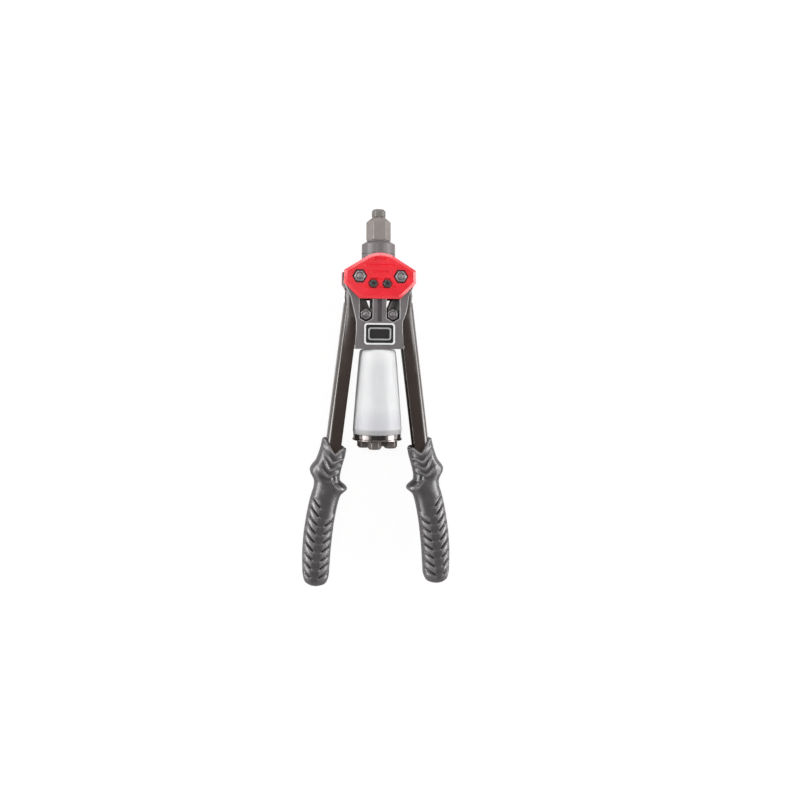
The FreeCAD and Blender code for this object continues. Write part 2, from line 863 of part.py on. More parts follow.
def build_jaws():
    front = -S.case_front
    node(turned([
        (S.case_mouth_radius, front),
        (S.case_radius - S.case_edge, front),
        (S.case_radius, front - S.case_edge),
        (S.case_radius, case_back),
        (S.case_bore_radius, case_back),
        (S.case_bore_radius, front - S.case_cone_from - S.case_cone_length),
        (S.case_mouth_radius, front - S.case_cone_from),
    ]), "jaw_case")
    jaw_front = front - S.jaw_setback
    jaw_back = jaw_front - S.jaw_length
    ring = turned([
        (S.jaw_grip_radius, jaw_front),
        (cone_radius(S.jaw_setback) - S.jaw_clearance, jaw_front),
        (cone_radius(S.jaw_setback + S.jaw_length) - S.jaw_clearance, jaw_back),
        (S.jaw_grip_radius, jaw_back),
    ])
    for number in range(JAW_COUNT):
        node(shared(ring, jaw_wedge(number, jaw_front, jaw_back)), f"jaw_{number + 1}")
    collar_back = jaw_back - S.pusher_collar_length
    node(turned([
        (S.pusher_bore_radius, jaw_back),
        (S.case_bore_radius - S.sliding_clearance - S.pusher_taper, jaw_back),
        (S.case_bore_radius - S.sliding_clearance, collar_back),
        (S.pusher_stem_radius, collar_back),
        (S.pusher_stem_radius, collar_back - S.pusher_stem_length),
        (S.pusher_bore_radius, collar_back - S.pusher_stem_length),
    ]), "jaw_pusher")
    build_spring(collar_back)


def jaw_wedge(number, front, back):
    """A third of a disc, kept off its neighbours by half a saw cut."""
    reach = S.case_radius * 2
    angle = Term(repr(360.0 / JAW_COUNT), 360.0 / JAW_COUNT)
    body = doc.addObject("PartDesign::Body", "wedge")
    half_angle = angle / 2
    apex = S.jaw_split / 2 / sine(half_angle)
    sketch = sketch_in(body, "XZ_Plane", [
        (apex, term(0)),
        (apex + reach * cosine(half_angle), reach * sine(half_angle)),
        (apex + reach * 2, reach * sine(half_angle)),
        (apex + reach * 2, -(reach * sine(half_angle))),
        (apex + reach * cosine(half_angle), -(reach * sine(half_angle))),
    ])
    pad = body.newObject("PartDesign::Pad", "length")
    pad.Profile = sketch
    bind(pad, "Length", front - back)
    body.Placement = Placement(Vector(0, front.value, 0),
                               Rotation(Vector(0, 1, 0), number * angle.value))
    bind(body, ".Placement.Base.y", front)
    return body


def build_spring(front):
    """A round-wire compression spring between the pusher's collar and the rod."""
    wire = S.spring_wire_radius
    mean = (S.pusher_stem_radius + S.case_bore_radius) / 2
    room = front - rod_front - 2 * S.spring_end_gap - 2 * wire
    helix = doc.addObject("Part::Helix", "coil_path")
    bind(helix, "Pitch", S.spring_pitch)
    bind(helix, "Height", room)
    bind(helix, "Radius", mean)
    section = doc.addObject("Part::Circle", "wire_section")
    bind(section, "Radius", wire)
    put(section, mean, 0, 0, Rotation(Vector(1, 0, 0), 90))
    coil = doc.addObject("Part::Sweep", "coil")
    coil.Sections = [section]
    coil.Spine = (helix, ["Edge1"])
    coil.Solid = True
    coil.Frenet = True
    put(coil, 0, front - S.spring_end_gap - wire, 0, TO_BACK)
    node(coil, "jaw_spring")


# ---------------------------------------------------------------- badge
def build_badge():
    """A bare name plate with rounded corners on the waist of the casting."""
    half_x = S.badge_half_width
    half_y = S.badge_half_height
    corner = S.badge_corner
    centre = -S.badge_at
    node(plate([
        (half_x - corner, centre + half_y, -corner),
        (half_x, centre + half_y - corner),
        (half_x, centre - half_y + corner, -corner),
        (half_x - corner, centre - half_y),
        (corner - half_x, centre - half_y, -corner),
        (-half_x, centre - half_y + corner),
        (-half_x, centre + half_y - corner, -corner),
        (corner - half_x, centre + half_y),
    ], WALL_OUTER, WALL_OUTER + S.badge_thickness), "badge")


# ---------------------------------------------------------------- bottle
def build_bottle():
    """A tapered bottle that slips over the spigot, closed by a turned base."""
    top = -(S.lip_end + S.bottle_front_gap)
    shoulder = top - S.bottle_shoulder_length
    end = -S.bottle_end
    neck_bore = S.spigot_radius + S.running_clearance
    room_top = -(S.lip_end + S.spigot_length) - S.bottle_wall
    end_radius = S.base_band_radius - S.bottle_end_step
    heel_radius = S.base_band_radius + S.bottle_heel_over
    flange_radius = S.base_band_radius + S.base_flange_over
    spare_pitch_radius = S.base_band_radius - S.spare_inset
    plug = end_radius - S.bottle_wall
    node(turned([
        (neck_bore, top),
        (S.bottle_lip_radius, top),
        (S.bottle_shoulder_radius, shoulder),
        (heel_radius, end + S.bottle_heel),
        (end_radius, end),
        (plug, end),
        (S.bottle_shoulder_radius - S.bottle_wall, room_top),
        (neck_bore, room_top),
    ]), "bottle")
    band_end = end - S.base_band_length
    flange_end = band_end - S.base_flange_length
    plug_radius = plug - S.sliding_clearance
    blank = turned([
        (term(0), end + S.base_plug_length),
        (plug_radius, end + S.base_plug_length),
        (plug_radius, end),
        (S.base_band_radius, end),
        (S.base_band_radius, band_end),
        (flange_radius, band_end),
        (flange_radius, flange_end),
        (term(0), flange_end),
    ])
    holes = []
    spares = []
    depth = S.base_plug_length + S.base_band_length + S.base_flange_length
    for number in range(SPARE_COUNT):
        angle = S.spare_turn + term(360.0 / SPARE_COUNT * number)
        x = spare_pitch_radius * sine(angle)
        z = spare_pitch_radius * cosine(angle)
        holes.append(cylinder(S.tip_shank_radius, depth, x, end + S.base_plug_length, z,
                              TO_BACK))
        tip = threaded_tip(term(0), -1)
        put(tip, x, flange_end - S.tip_head_length, z)
        spares.append(tip)
    node(cut(blank, *holes), "bottle_base")
    for number, tip in enumerate(spares, start=1):
        node(tip, f"spare_nosepiece_{number}")


def check_and_export():
    """Recompute, refuse a failed object or a bad shape, and write one file per node."""
    doc.recompute()
    failed = [item.Label for item in doc.Objects
              if "Invalid" in item.State or "Error" in item.State]
    if failed:
        raise RuntimeError(f"failed objects: {failed}")
    for item in NODES:
        shape = item.Shape
        if shape.isNull() or not shape.isValid() or not shape.Solids:
            raise RuntimeError(f"bad shape: {item.Label}")
    os.makedirs("parts", exist_ok=True)
    for item in NODES:
        item.Shape.exportStep(f"parts/{item.Label}.step")
        print(item.Label, len(item.Shape.Solids), round(item.Shape.Volume, 2))


build_nose()
build_casting()
build_cover()
build_fasteners()
build_grips(build_arms())
build_links()
build_crosshead()
build_jaws()
build_badge()
build_bottle()
check_and_export()
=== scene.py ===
"""The looks of a two-hand lever riveter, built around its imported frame.

Shapes are worked out in millimetres and stored in metres. +Y points out of the nose, +X to
the right and +Z up out of the front cover, as in the frame.
"""

import json
import logging
import math
from dataclasses import dataclass
from enum import Enum
from typing import Callable, Iterable, Sequence

import bmesh
import bpy
from mathutils import Euler, Matrix, Vector


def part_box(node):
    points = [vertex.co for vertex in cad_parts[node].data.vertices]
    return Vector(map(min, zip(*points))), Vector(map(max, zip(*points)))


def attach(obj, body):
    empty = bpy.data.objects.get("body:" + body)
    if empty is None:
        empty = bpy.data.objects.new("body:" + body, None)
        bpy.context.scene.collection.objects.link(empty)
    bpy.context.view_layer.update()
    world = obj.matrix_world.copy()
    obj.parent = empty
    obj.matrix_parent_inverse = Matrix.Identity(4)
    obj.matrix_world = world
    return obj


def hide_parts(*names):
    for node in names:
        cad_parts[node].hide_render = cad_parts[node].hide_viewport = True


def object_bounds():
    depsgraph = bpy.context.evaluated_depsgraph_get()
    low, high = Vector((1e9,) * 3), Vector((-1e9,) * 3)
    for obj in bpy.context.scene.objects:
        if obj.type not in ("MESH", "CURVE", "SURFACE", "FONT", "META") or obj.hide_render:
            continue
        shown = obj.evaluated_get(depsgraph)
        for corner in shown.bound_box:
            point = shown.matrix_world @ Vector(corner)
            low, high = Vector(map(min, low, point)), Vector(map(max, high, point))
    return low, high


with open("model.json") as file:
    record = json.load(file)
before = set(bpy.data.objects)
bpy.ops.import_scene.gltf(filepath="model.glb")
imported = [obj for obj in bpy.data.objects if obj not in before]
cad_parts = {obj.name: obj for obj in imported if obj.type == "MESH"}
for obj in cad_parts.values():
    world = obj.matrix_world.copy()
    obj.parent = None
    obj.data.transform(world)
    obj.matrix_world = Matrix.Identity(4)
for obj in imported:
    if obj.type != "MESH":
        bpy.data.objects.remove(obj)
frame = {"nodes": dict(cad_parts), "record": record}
CAD_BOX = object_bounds()

MM = 0.001
# Colour layer for painted light: a painted highlight on rounded enamel edges, and a painted
# highlight and painted shade on the grips' relief.
PAINTED_LIGHT = "painted_light"
PAINTED = ("casting_paint", "red_paint")
LOG = logging.getLogger("riveter")
Profile = list[tuple[float, float]]
Outline = list[tuple[float, float]]
Stations = tuple[tuple[float, float], ...]


class Body(Enum):
    """The rigid bodies that pieces ride on."""

    FRAME = "frame"
    RIGHT_ARM = "right_arm"
    LEFT_ARM = "left_arm"
    CROSSHEAD = "crosshead"
    RIGHT_LINKS = "right_links"
    LEFT_LINKS = "left_links"
    JAWS = "jaws"
    BOTTLE = "bottle"


class Side(Enum):
    """The side of the tool, as the sign of its X."""

    RIGHT = 1
    LEFT = -1

    @property
    def word(self) -> str:
        """The side's name as node names spell it."""
        return self.name.lower()


class Extent:
    """A CAD node's box in millimetres."""

    def __init__(self, node: str) -> None:
        """Read the box.

        Args:
            node: the CAD node's name.
        """
        low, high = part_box(node)
        self.low = Vector(low) / MM
        self.high = Vector(high) / MM

    @property
    def centre(self) -> Vector:
        """The middle of the box."""
        return (self.low + self.high) / 2

    @property
    def size(self) -> Vector:
        """The box's three sides."""
        return self.high - self.low


# ------------------------------------------------------------------------- shader maths
class Signal:
    """A shader socket that takes part in Python expressions."""

    def __init__(self, graph: "Graph", socket: bpy.types.NodeSocket) -> None:
        """Keep a socket and the graph that it belongs to."""
        self.graph = graph
        self.socket = socket

    def _math(self, operation: str, *values: "Signal | float") -> "Signal":
        """Add a Math node for an operation."""
        return self.graph.add("ShaderNodeMath", {"operation": operation},
                              dict(enumerate(values)))

    def __add__(self, other: "Signal | float") -> "Signal":
        """Sum."""
        return self._math("ADD", self, other)

    __radd__ = __add__

    def __sub__(self, other: "Signal | float") -> "Signal":
        """Difference."""
        return self._math("SUBTRACT", self, other)

    def __rsub__(self, other: float) -> "Signal":
        """Reflected difference."""
        return self._math("SUBTRACT", other, self)

    def __mul__(self, other: "Signal | float") -> "Signal":
        """Product."""
        return self._math("MULTIPLY", self, other)

    __rmul__ = __mul__

    def __truediv__(self, other: "Signal | float") -> "Signal":
        """Quotient."""
        return self._math("DIVIDE", self, other)

    def __pow__(self, other: float) -> "Signal":
        """Power."""
        return self._math("POWER", self, other)

    def between(self, low: float, high: float) -> "Signal":
        """A smooth step from 0 at low to 1 at high."""
        return self.graph.add(
            "ShaderNodeMapRange",
            {"interpolation_type": "SMOOTHSTEP", "clamp": True},
            {"Value": self, "From Min": low, "From Max": high})


class Graph:
    """A material's node tree."""

    def __init__(self, name: str) -> None:
        """Start a material.

        Args:
            name: the material's name.
        """
        self.material = bpy.data.materials.new(name)
        self.material.use_nodes = True
        self.tree = self.material.node_tree
        self.shader = self.tree.nodes["Principled BSDF"]

    def add(self, kind: str, settings: dict | None = None, inputs: dict | None = None,
            output: int | str = 0) -> Signal:
        """Add a node.

        Args:
            kind: the node's type.
            settings: properties to set first; "stops" gives a colour ramp's stops.
            inputs: values or links by socket name or number.
            output: the socket to return.

        Returns:
            The chosen output as a Signal.
        """
        node = self.tree.nodes.new(kind)
        for key, value in (settings or {}).items():
            if key == "stops":
                self._set_stops(node, value)
            else:
                setattr(node, key, value)
        for key, value in (inputs or {}).items():
            self._feed(node.inputs[key], value)
        return Signal(self, node.outputs[output])

    @staticmethod
    def _set_stops(node: bpy.types.Node, stops: Sequence[tuple[float, float]]) -> None:
        """Give a colour ramp its grey stops.

        Args:
            node: the ramp's node.
            stops: pairs of (place, level).
        """
        ramp = node.color_ramp
        while len(ramp.elements) < len(stops):
            ramp.elements.new(0.5)
        for element, (place, level) in zip(ramp.elements, stops):
            element.position = place
            element.color = (level, level, level, 1)

    def _feed(self, socket: bpy.types.NodeSocket, value: object) -> None:
        """Link a Signal or set a plain value."""
        if isinstance(value, Signal):
            self.tree.links.new(value.socket, socket)
        else:
            socket.default_value = value

    def set(self, **sockets: object) -> None:
        """Feed the shader's sockets; underscores in the names stand for spaces."""
        for key, value in sockets.items():
            self._feed(self.shader.inputs[key.replace("_", " ")], value)

    def place(self, scale: Sequence[float] = (1, 1, 1)) -> Signal:
        """The piece's own coordinates in millimetres, stretched by a scale."""
        coordinates = self.add("ShaderNodeTexCoord", output="Object")
        return self.add("ShaderNodeMapping", None, {
            "Vector": coordinates, "Scale": [s / MM for s in scale]})

    def noise(self, scale: float, detail: float = 4, stretch: Sequence[float] = (1, 1, 1),
              roughness: float = 0.55) -> Signal:
        """Noise around 0.5, with its scale in cycles per millimetre."""
        return self.add("ShaderNodeTexNoise", None, {
            "Vector": self.place(stretch), "Scale": scale, "Detail": detail,
            "Roughness": roughness})

    def attribute(self, name: str) -> Signal:
        """The value of a colour attribute of the mesh."""
        return self.add("ShaderNodeAttribute", {"attribute_name": name}, output="Fac")

    def mix(self, factor: Signal | float, first: Sequence[float] | Signal,
            second: Sequence[float] | Signal) -> Signal:
        """Mix two colours."""
        return self.add("ShaderNodeMix", {"data_type": "RGBA"},
                        {0: factor, 6: first, 7: second}, output=2)

    def bump(self, height: Signal, strength: float, distance: float,
             normal: Signal | None = None) -> Signal:
        """Turn a height into a normal.

        Args:
            height: the height, from 0 to 1.
            strength: how strongly it shows.
            distance: the height's full size in millimetres.
            normal: the normal that it adds to.

        Returns:
            The new normal.
        """
        inputs: dict = {"Height": height, "Strength": strength, "Distance": distance * MM}
        if normal is not None:
            inputs["Normal"] = normal
        return self.add("ShaderNodeBump", None, inputs)


def rgba(colour: Sequence[float], gain: float = 1.0) -> tuple[float, ...]:
    """A linear colour with its alpha, brightened by a gain."""
    return tuple(min(1.0, channel * gain) for channel in colour[:3]) + (1.0,)


# ------------------------------------------------------------------------- finishes
@dataclass(frozen=True)
class Steel:
    """Phosphated, blackened or plated steel with fine machining marks."""

    name: str
    colour: tuple[float, float, float]
    roughness: float = 0.42
    metallic: float = 0.5
    marks: float = 0.12
    stain: float = 0.25
    streaks: float = 0.0

    def build(self) -> bpy.types.Material:
        """Make the material.

        Returns:
            The finished material.
        """
        graph = Graph(self.name)
        cloud = graph.noise(0.22, detail=5).between(0.3, 0.7)
        grain = graph.noise(2.2, detail=3)
        turning = graph.noise(1.0, detail=2, stretch=(0.12, 7.0, 0.12))
        streak = graph.noise(0.16, detail=1, stretch=(1.0, 0.02, 1.0)).between(0.42, 0.58)
        shade = cloud * self.stain + grain * 0.2 + streak * self.streaks
        graph.set(
            Base_Color=graph.mix(shade, rgba(self.colour, 1.12), rgba(self.colour, 0.6)),
            Metallic=self.metallic,
            Roughness=self.roughness - 0.06 + cloud * 0.08 + grain * 0.08,
            Normal=graph.bump(turning * 0.6 + grain * 0.4, self.marks, 0.05))
        return graph.material


@dataclass(frozen=True)
class Enamel:
    """Sprayed enamel: gloss under a clear coat, with orange peel, dust and a painted highlight on
    its rounded edges.
    """

    name: str
    colour: tuple[float, float, float]
    roughness: float = 0.3
    coat: float = 0.5
    peel: float = 0.15
    grain: float = 0.0
    specular: float = 0.5
    painted_light: float = 0.0
    edge_highlight: tuple[float, float, float] = (0.5, 0.5, 0.5)

    def build(self) -> bpy.types.Material:
        """Make the material.

        Returns:
            The finished material.
        """
        graph = Graph(self.name)
        cloud = graph.noise(0.06, detail=4).between(0.25, 0.75)
        peel = graph.noise(0.9, detail=2)
        grain = graph.noise(4.5, detail=2)
        speck = graph.noise(1.7, detail=3).between(0.66, 0.74)
        tone = graph.mix(cloud, rgba(self.colour, 0.93), rgba(self.colour, 1.06))
        tone = graph.mix(speck * 0.12, tone, rgba(self.colour, 1.7))
        # Painted highlight: the rounded edges marked in the layer are mixed towards the light edge
        # colour.
        light_level = graph.attribute(PAINTED_LIGHT) * (cloud * 0.5 + 0.5) * self.painted_light
        graph.set(
            Base_Color=graph.mix(light_level, tone, rgba(self.edge_highlight)),
            Metallic=0.0,
            Roughness=self.roughness + cloud * 0.06 + grain * 0.05,
            Coat_Weight=self.coat,
            Coat_Roughness=0.12,
            Specular_IOR_Level=self.specular,
            Normal=graph.bump(peel + grain * self.grain, self.peel, 0.05))
        return graph.material


@dataclass(frozen=True)
class Rubber:
    """Moulded black rubber: a fine matt skin, painted shade in the grooves and a painted highlight
    on the crests.
    """

    name: str
    colour: tuple[float, float, float]

    def build(self) -> bpy.types.Material:
        """Make the material.

        Returns:
            The finished material.
        """
        graph = Graph(self.name)
        bloom = graph.noise(0.05, detail=5).between(0.3, 0.75)
        skin = graph.noise(3.2, detail=3)
        relief = graph.attribute(PAINTED_LIGHT)
        tone = graph.mix(bloom, rgba(self.colour, 0.9), rgba(self.colour, 1.15))
        # Painted shade darkens the grooves and the hollow by the guard; the base colour below adds
        # a painted highlight on the crests.
        tone = graph.mix(relief.between(0.47, 0.1) * 0.7, tone, rgba(self.colour, 0.3))
        graph.set(
            Base_Color=graph.mix(relief.between(0.52, 0.74) * 0.6, tone, rgba(self.colour, 3.6)),
            Roughness=0.26 + bloom * 0.05 + skin * 0.06,
            Specular_IOR_Level=0.6,
            Normal=graph.bump(skin, 0.1, 0.05))
        return graph.material


@dataclass(frozen=True)
class MilkyPlastic:
    """Milky blow-moulded plastic, greyer low down, with painted shade where the plug lies behind.
    """

    name: str
    colour: tuple[float, float, float]
    low_colour: tuple[float, float, float]
    plug_shade_colour: tuple[float, float, float]
    low_from: float = -172.0
    plug_from: float = -191.6

    def build(self) -> bpy.types.Material:
        """Make the material.

        Returns:
            The finished material.
        """
        graph = Graph(self.name)
        place = graph.add("ShaderNodeSeparateXYZ", None,
                          {"Vector": graph.place()}, output="Y")
        cloud = graph.noise(0.03, detail=3).between(0.3, 0.7)
        band = graph.noise(0.09, detail=2, stretch=(1, 0.06, 1)).between(0.3, 0.7)
        ripple = graph.noise(0.12, detail=2, stretch=(1, 0.35, 1))
        skin = graph.noise(2.5, detail=2)
        low = (place * -1).between(-self.low_from, -self.low_from + 16)
        # Painted shade: a darker band where the base's plug lies behind the wall.
        plug = (place * -1).between(-self.plug_from, -self.plug_from + 2.2)
        tone = graph.mix(cloud * 0.4 + band * 0.6, rgba(self.colour, 0.93),
                         rgba(self.colour, 1.04))
        tone = graph.mix(low * 0.85, tone, rgba(self.low_colour))
        graph.set(
            Base_Color=graph.mix(plug * 0.8, tone, rgba(self.plug_shade_colour)),
            Roughness=0.46 + skin * 0.08,
            Subsurface_Weight=0.7,
            Subsurface_Radius=(1.0, 0.95, 0.9),
            Subsurface_Scale=7 * MM,
            Specular_IOR_Level=0.25,
            Normal=graph.bump(ripple + skin * 0.15, 0.25, 0.25))
        return graph.material


@dataclass(frozen=True)
class Finishes:
    """Every finish on the tool."""

    nose: Steel = Steel("finish_nose_steel", (0.195, 0.17, 0.161), 0.5, 0.3, 0.12)
    tip: Steel = Steel("finish_tip_steel", (0.14, 0.128, 0.116), 0.45, 0.35, 0.1)
    spare: Steel = Steel("finish_spare_steel", (0.115, 0.10, 0.094), 0.42, 0.4, 0.1)
    # Casting, cover and arm: a painted highlight on the rounded edges, with its strength and edge
    # colour given by name.
    casting: Enamel = Enamel("finish_casting", (0.145, 0.13, 0.133), 0.4, 0.1, 0.25, 0.5,
                             specular=0.3, painted_light=0.9)
    cover: Enamel = Enamel("finish_cover_red", (0.84, 0.011, 0.026), 0.2, 0.3, 0.04,
                           painted_light=0.5, edge_highlight=(0.9, 0.35, 0.38))
    fastener: Steel = Steel("finish_fastener", (0.22, 0.2, 0.205), 0.28, 0.6, 0.1)
    screw: Steel = Steel("finish_black_screw", (0.085, 0.08, 0.08), 0.26, 0.6, 0.1)
    arm: Enamel = Enamel("finish_arm_black", (0.042, 0.029, 0.024), 0.16, 0.6, 0.04,
                         painted_light=0.75, edge_highlight=(0.62, 0.6, 0.59))
    grip: Rubber = Rubber("finish_grip", (0.062, 0.057, 0.060))
    # The bottle's last colour is the painted shade over the base's plug.
    bottle: MilkyPlastic = MilkyPlastic("finish_bottle", (0.83, 0.83, 0.83),
                                        (0.66, 0.655, 0.69), (0.40, 0.39, 0.39))
    base: Steel = Steel("finish_base_plated", (0.19, 0.17, 0.165), 0.16, 0.9, 0.05, 0.15, 0.9)
    working: Steel = Steel("finish_working_steel", (0.065, 0.06, 0.058), 0.35, 0.5, 0.14)
    badge_field: Enamel = Enamel("finish_badge_field", (0.011, 0.009, 0.010), 0.22, 0.0, 0.02)
    badge_rim: Enamel = Enamel("finish_badge_rim", (0.80, 0.80, 0.80), 0.35, 0.3, 0.05)
    badge_inner: Enamel = Enamel("finish_badge_inner", (0.36, 0.36, 0.37), 0.35, 0.3, 0.05)

    def material(self, finish: str) -> bpy.types.Material:
        """The named finish's material, made on first use.

        Args:
            finish: one of the field names.

        Returns:
            The material.
        """
        recipe = getattr(self, finish)
        return bpy.data.materials.get(recipe.name) or recipe.build()


FINISHES = Finishes()


# ------------------------------------------------------------------------- mesh tools
def new_piece(bm: bmesh.types.BMesh, name: str, body: Body, finish: str, slot: str,
              stands_for: Iterable[str] = (), smooth: float = 32) -> bpy.types.Object:
    """Turn a mesh in millimetres into a finished piece.

    Args:
        bm: the mesh, which is used up.
        name: the piece's name.
        body: the body it rides on.
        finish: the finish's field name.
        slot: the record's material slot.
        stands_for: CAD nodes that the piece replaces.
        smooth: edges that turn less than this many degrees are shaded smooth.

    Returns:
        The piece's object.
    """
    bmesh.ops.scale(bm, vec=(MM, MM, MM), verts=bm.verts)
    mesh = bpy.data.meshes.new(name)
    bm.to_mesh(mesh)
    bm.free()
    mesh.shade_smooth()
    mesh.set_sharp_from_angle(angle=math.radians(smooth))
    mesh.materials.append(FINISHES.material(finish))
    piece = bpy.data.objects.new(name, mesh)
    bpy.context.scene.collection.objects.link(piece)
    if slot in PAINTED:
        piece.modifiers.new("even_faces", "WEIGHTED_NORMAL").keep_sharp = True
    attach(piece, body.value)
    nodes = list(stands_for)
    if nodes:
        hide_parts(*nodes)
    LOG.info("%s: %d faces on %s", name, len(mesh.polygons), body.value)
    return piece


def mirrored_copy(bm: bmesh.types.BMesh) -> bmesh.types.BMesh:
    """The same mesh on the other side of the YZ plane."""
    other = bm.copy()
    bmesh.ops.scale(other, vec=(-1, 1, 1), verts=other.verts)
    bmesh.ops.reverse_faces(other, faces=other.faces)
    return other


def with_boolean(bm: bmesh.types.BMesh, cutter: bmesh.types.BMesh,
                 operation: str = "DIFFERENCE") -> bmesh.types.BMesh:
    """Combine two closed meshes.

    Args:
        bm: the mesh that is kept; it is used up.
        cutter: the other mesh; it is used up.
        operation: DIFFERENCE, UNION or INTERSECT.

    Returns:
        The new mesh.
    """
    objects = []
    for part in (bm, cutter):
        mesh = bpy.data.meshes.new("work")
        part.to_mesh(mesh)
        part.free()
        item = bpy.data.objects.new("work", mesh)
        bpy.context.scene.collection.objects.link(item)
        objects.append(item)
    base, tool = objects
    modifier = base.modifiers.new("combine", "BOOLEAN")
    modifier.operation = operation
    modifier.solver = "EXACT"
    modifier.object = tool
    graph = bpy.context.evaluated_depsgraph_get()
    result = bmesh.new()
    result.from_mesh(bpy.data.meshes.new_from_object(base.evaluated_get(graph)))
    for item in objects:
        bpy.data.meshes.remove(item.data)
    bmesh.ops.remove_doubles(result, verts=result.verts, dist=0.002)
    return result


def soften(bm: bmesh.types.BMesh, width: float, segments: int = 2,
           turn: float = 35, where: Callable[[Vector], bool] | None = None,
           clamp: bool = True) -> None:
    """Round the edges that turn sharply and mark their new faces for a painted edge highlight.

    Args:
        bm: the mesh in millimetres.
        width: the rounding's width.
        segments: how many faces cross it.
        turn: edges that turn less than this many degrees are left.
        where: a test on an edge's middle; by default every edge counts.
        clamp: whether the shortest edges hold the width down.
    """
    limit = math.radians(turn)
    edges = []
    for edge in bm.edges:
        if len(edge.link_faces) != 2 or edge.calc_face_angle(0) < limit:
            continue
        if where is None or where((edge.verts[0].co + edge.verts[1].co) / 2):
            edges.append(edge)
    rounded = bmesh.ops.bevel(bm, geom=edges, offset=width, offset_type="OFFSET",
                              segments=segments, profile=0.5, affect="EDGES",
                              clamp_overlap=clamp, material=-1)
    fresh = set(rounded["faces"])
    # Mark the new rounded faces at 1 in the painted-light layer; the enamel paints a highlight
    # there.
    layers = bm.loops.layers.float_color
    known = layers.get(PAINTED_LIGHT)
    painted_light = known or layers.new(PAINTED_LIGHT)
    for face in fresh if known else bm.faces:
        level = 1.0 if face in fresh else 0.0
        for loop in face.loops:
            loop[painted_light] = (level, level, level, 1.0)


def prism(outline: Outline, low: float, high: float) -> bmesh.types.BMesh:
    """Raise an outline between two heights.

    Args:
        outline: the corners in their order.
        low: the lower height.
        high: the upper height.

    Returns:
        The closed mesh.
    """
    bm = bmesh.new()
    corners = [bm.verts.new((x, y, low)) for x, y in outline]
    floor = bm.faces.new(corners)
    raised = bmesh.ops.extrude_face_region(bm, geom=[floor])["geom"]
    top = [item for item in raised if isinstance(item, bmesh.types.BMVert)]
    bmesh.ops.translate(bm, vec=(0, 0, high - low), verts=top)
    bmesh.ops.recalc_face_normals(bm, faces=bm.faces)
    return bm


def rounded_box(half_x: float, half_y: float, corner: float, steps: int = 6) -> Outline:
    """A rectangle with round corners, centred on the origin.

    Args:
        half_x: half its width.
        half_y: half its length.
        corner: the corners' radius.
        steps: how many sides each corner has.

    Returns:
        The outline, counter-clockwise.
    """
    points = []
    for quarter in range(4):
        sign_x = 1 if quarter in (0, 3) else -1
        sign_y = 1 if quarter < 2 else -1
        for step in range(steps + 1):
            angle = math.pi / 2 * (quarter + step / steps)
            points.append((sign_x * (half_x - corner) + corner * math.cos(angle),
                           sign_y * (half_y - corner) + corner * math.sin(angle)))
    return points


def moved(outline: Outline, x: float, y: float) -> Outline:
    """An outline shifted by x and y."""
    return [(px + x, py + y) for px, py in outline]


def hexagon_reach(angle: float, apothem: float, power: float) -> float:
    """The distance from the middle of a hexagon with eased corners to its side.

    Args:
        angle: the direction, 0 across a flat.
        apothem: half the width across flats.
        power: how sharp the corners are.

    Returns:
        The distance, in the apothem's unit.
    """
    total = 0.0
    for side in range(6):
        facing = math.cos(angle - math.pi / 3 * side)
        if facing > 0:
            total += (facing / apothem) ** power
    return total ** (-1 / power)


def fine_profile(profile: Profile, step: float) -> Profile:
    """Add points so that no run along a profile is longer than a step.

    Args:
        profile: the points.
        step: the longest run.

    Returns:
        The profile with its new points.
    """
    points = [profile[0]]
    for (r0, y0), (r1, y1) in zip(profile, profile[1:]):
        count = max(1, math.ceil(math.hypot(r1 - r0, y1 - y0) / step))
        for i in range(1, count + 1):
            t = i / count
            points.append((r0 + (r1 - r0) * t, y0 + (y1 - y0) * t))
    return points


def turned(profile: Profile, segments: int = 96, closed: bool = False) -> bmesh.types.BMesh:
    """Spin a profile of (radius, y) points round the Y axis.

    Args:
        profile: the outline; points on the axis have a radius of 0.
        segments: how many faces go round.
        closed: joins the last point to the first, for a ring.

    Returns:
        The closed mesh.
    """
    bm = bmesh.new()
    chain = [bm.verts.new((radius, y, 0)) for radius, y in profile]
    links = list(zip(chain, chain[1:]))
    if closed:
        links.append((chain[-1], chain[0]))
    edges = [bm.edges.new(pair) for pair in links]
    bmesh.ops.spin(bm, geom=chain + edges, cent=(0, 0, 0), axis=(0, 1, 0),
                   angle=math.tau, steps=segments, use_merge=True)
    bmesh.ops.remove_doubles(bm, verts=bm.verts, dist=0.0005)
    bmesh.ops.recalc_face_normals(bm, faces=bm.faces)
    return bm


def hexed(bm: bmesh.types.BMesh, apothem: float, power: float, first: float, last: float,
          taper: tuple[float, float] = (0.0, 1.0)) -> None:
    """Press a turned piece into a hexagon whose flats face +Z and -Z.

    Args:
        bm: the piece, turned round the Y axis.
        apothem: half the width across flats.
        power: how crisp the corners are.
        first: the hexagon starts at this Y.
        last: the hexagon ends at this Y.
        taper: how much narrower it is at Y = 0, and over what depth it widens.
    """
    less, depth = taper
    for vert in bm.verts:
        radius = math.hypot(vert.co.x, vert.co.z)
        if not last <= vert.co.y <= first or radius < apothem * 0.6:
            continue
        angle = math.atan2(vert.co.x, vert.co.z)
        narrowed = apothem - less * max(0.0, 1 + vert.co.y / depth)
        reach = hexagon_reach(angle, narrowed, power)
        eased = (radius ** -power + reach ** -power) ** (-1 / power)
        vert.co.x *= eased / radius
        vert.co.z *= eased / radius


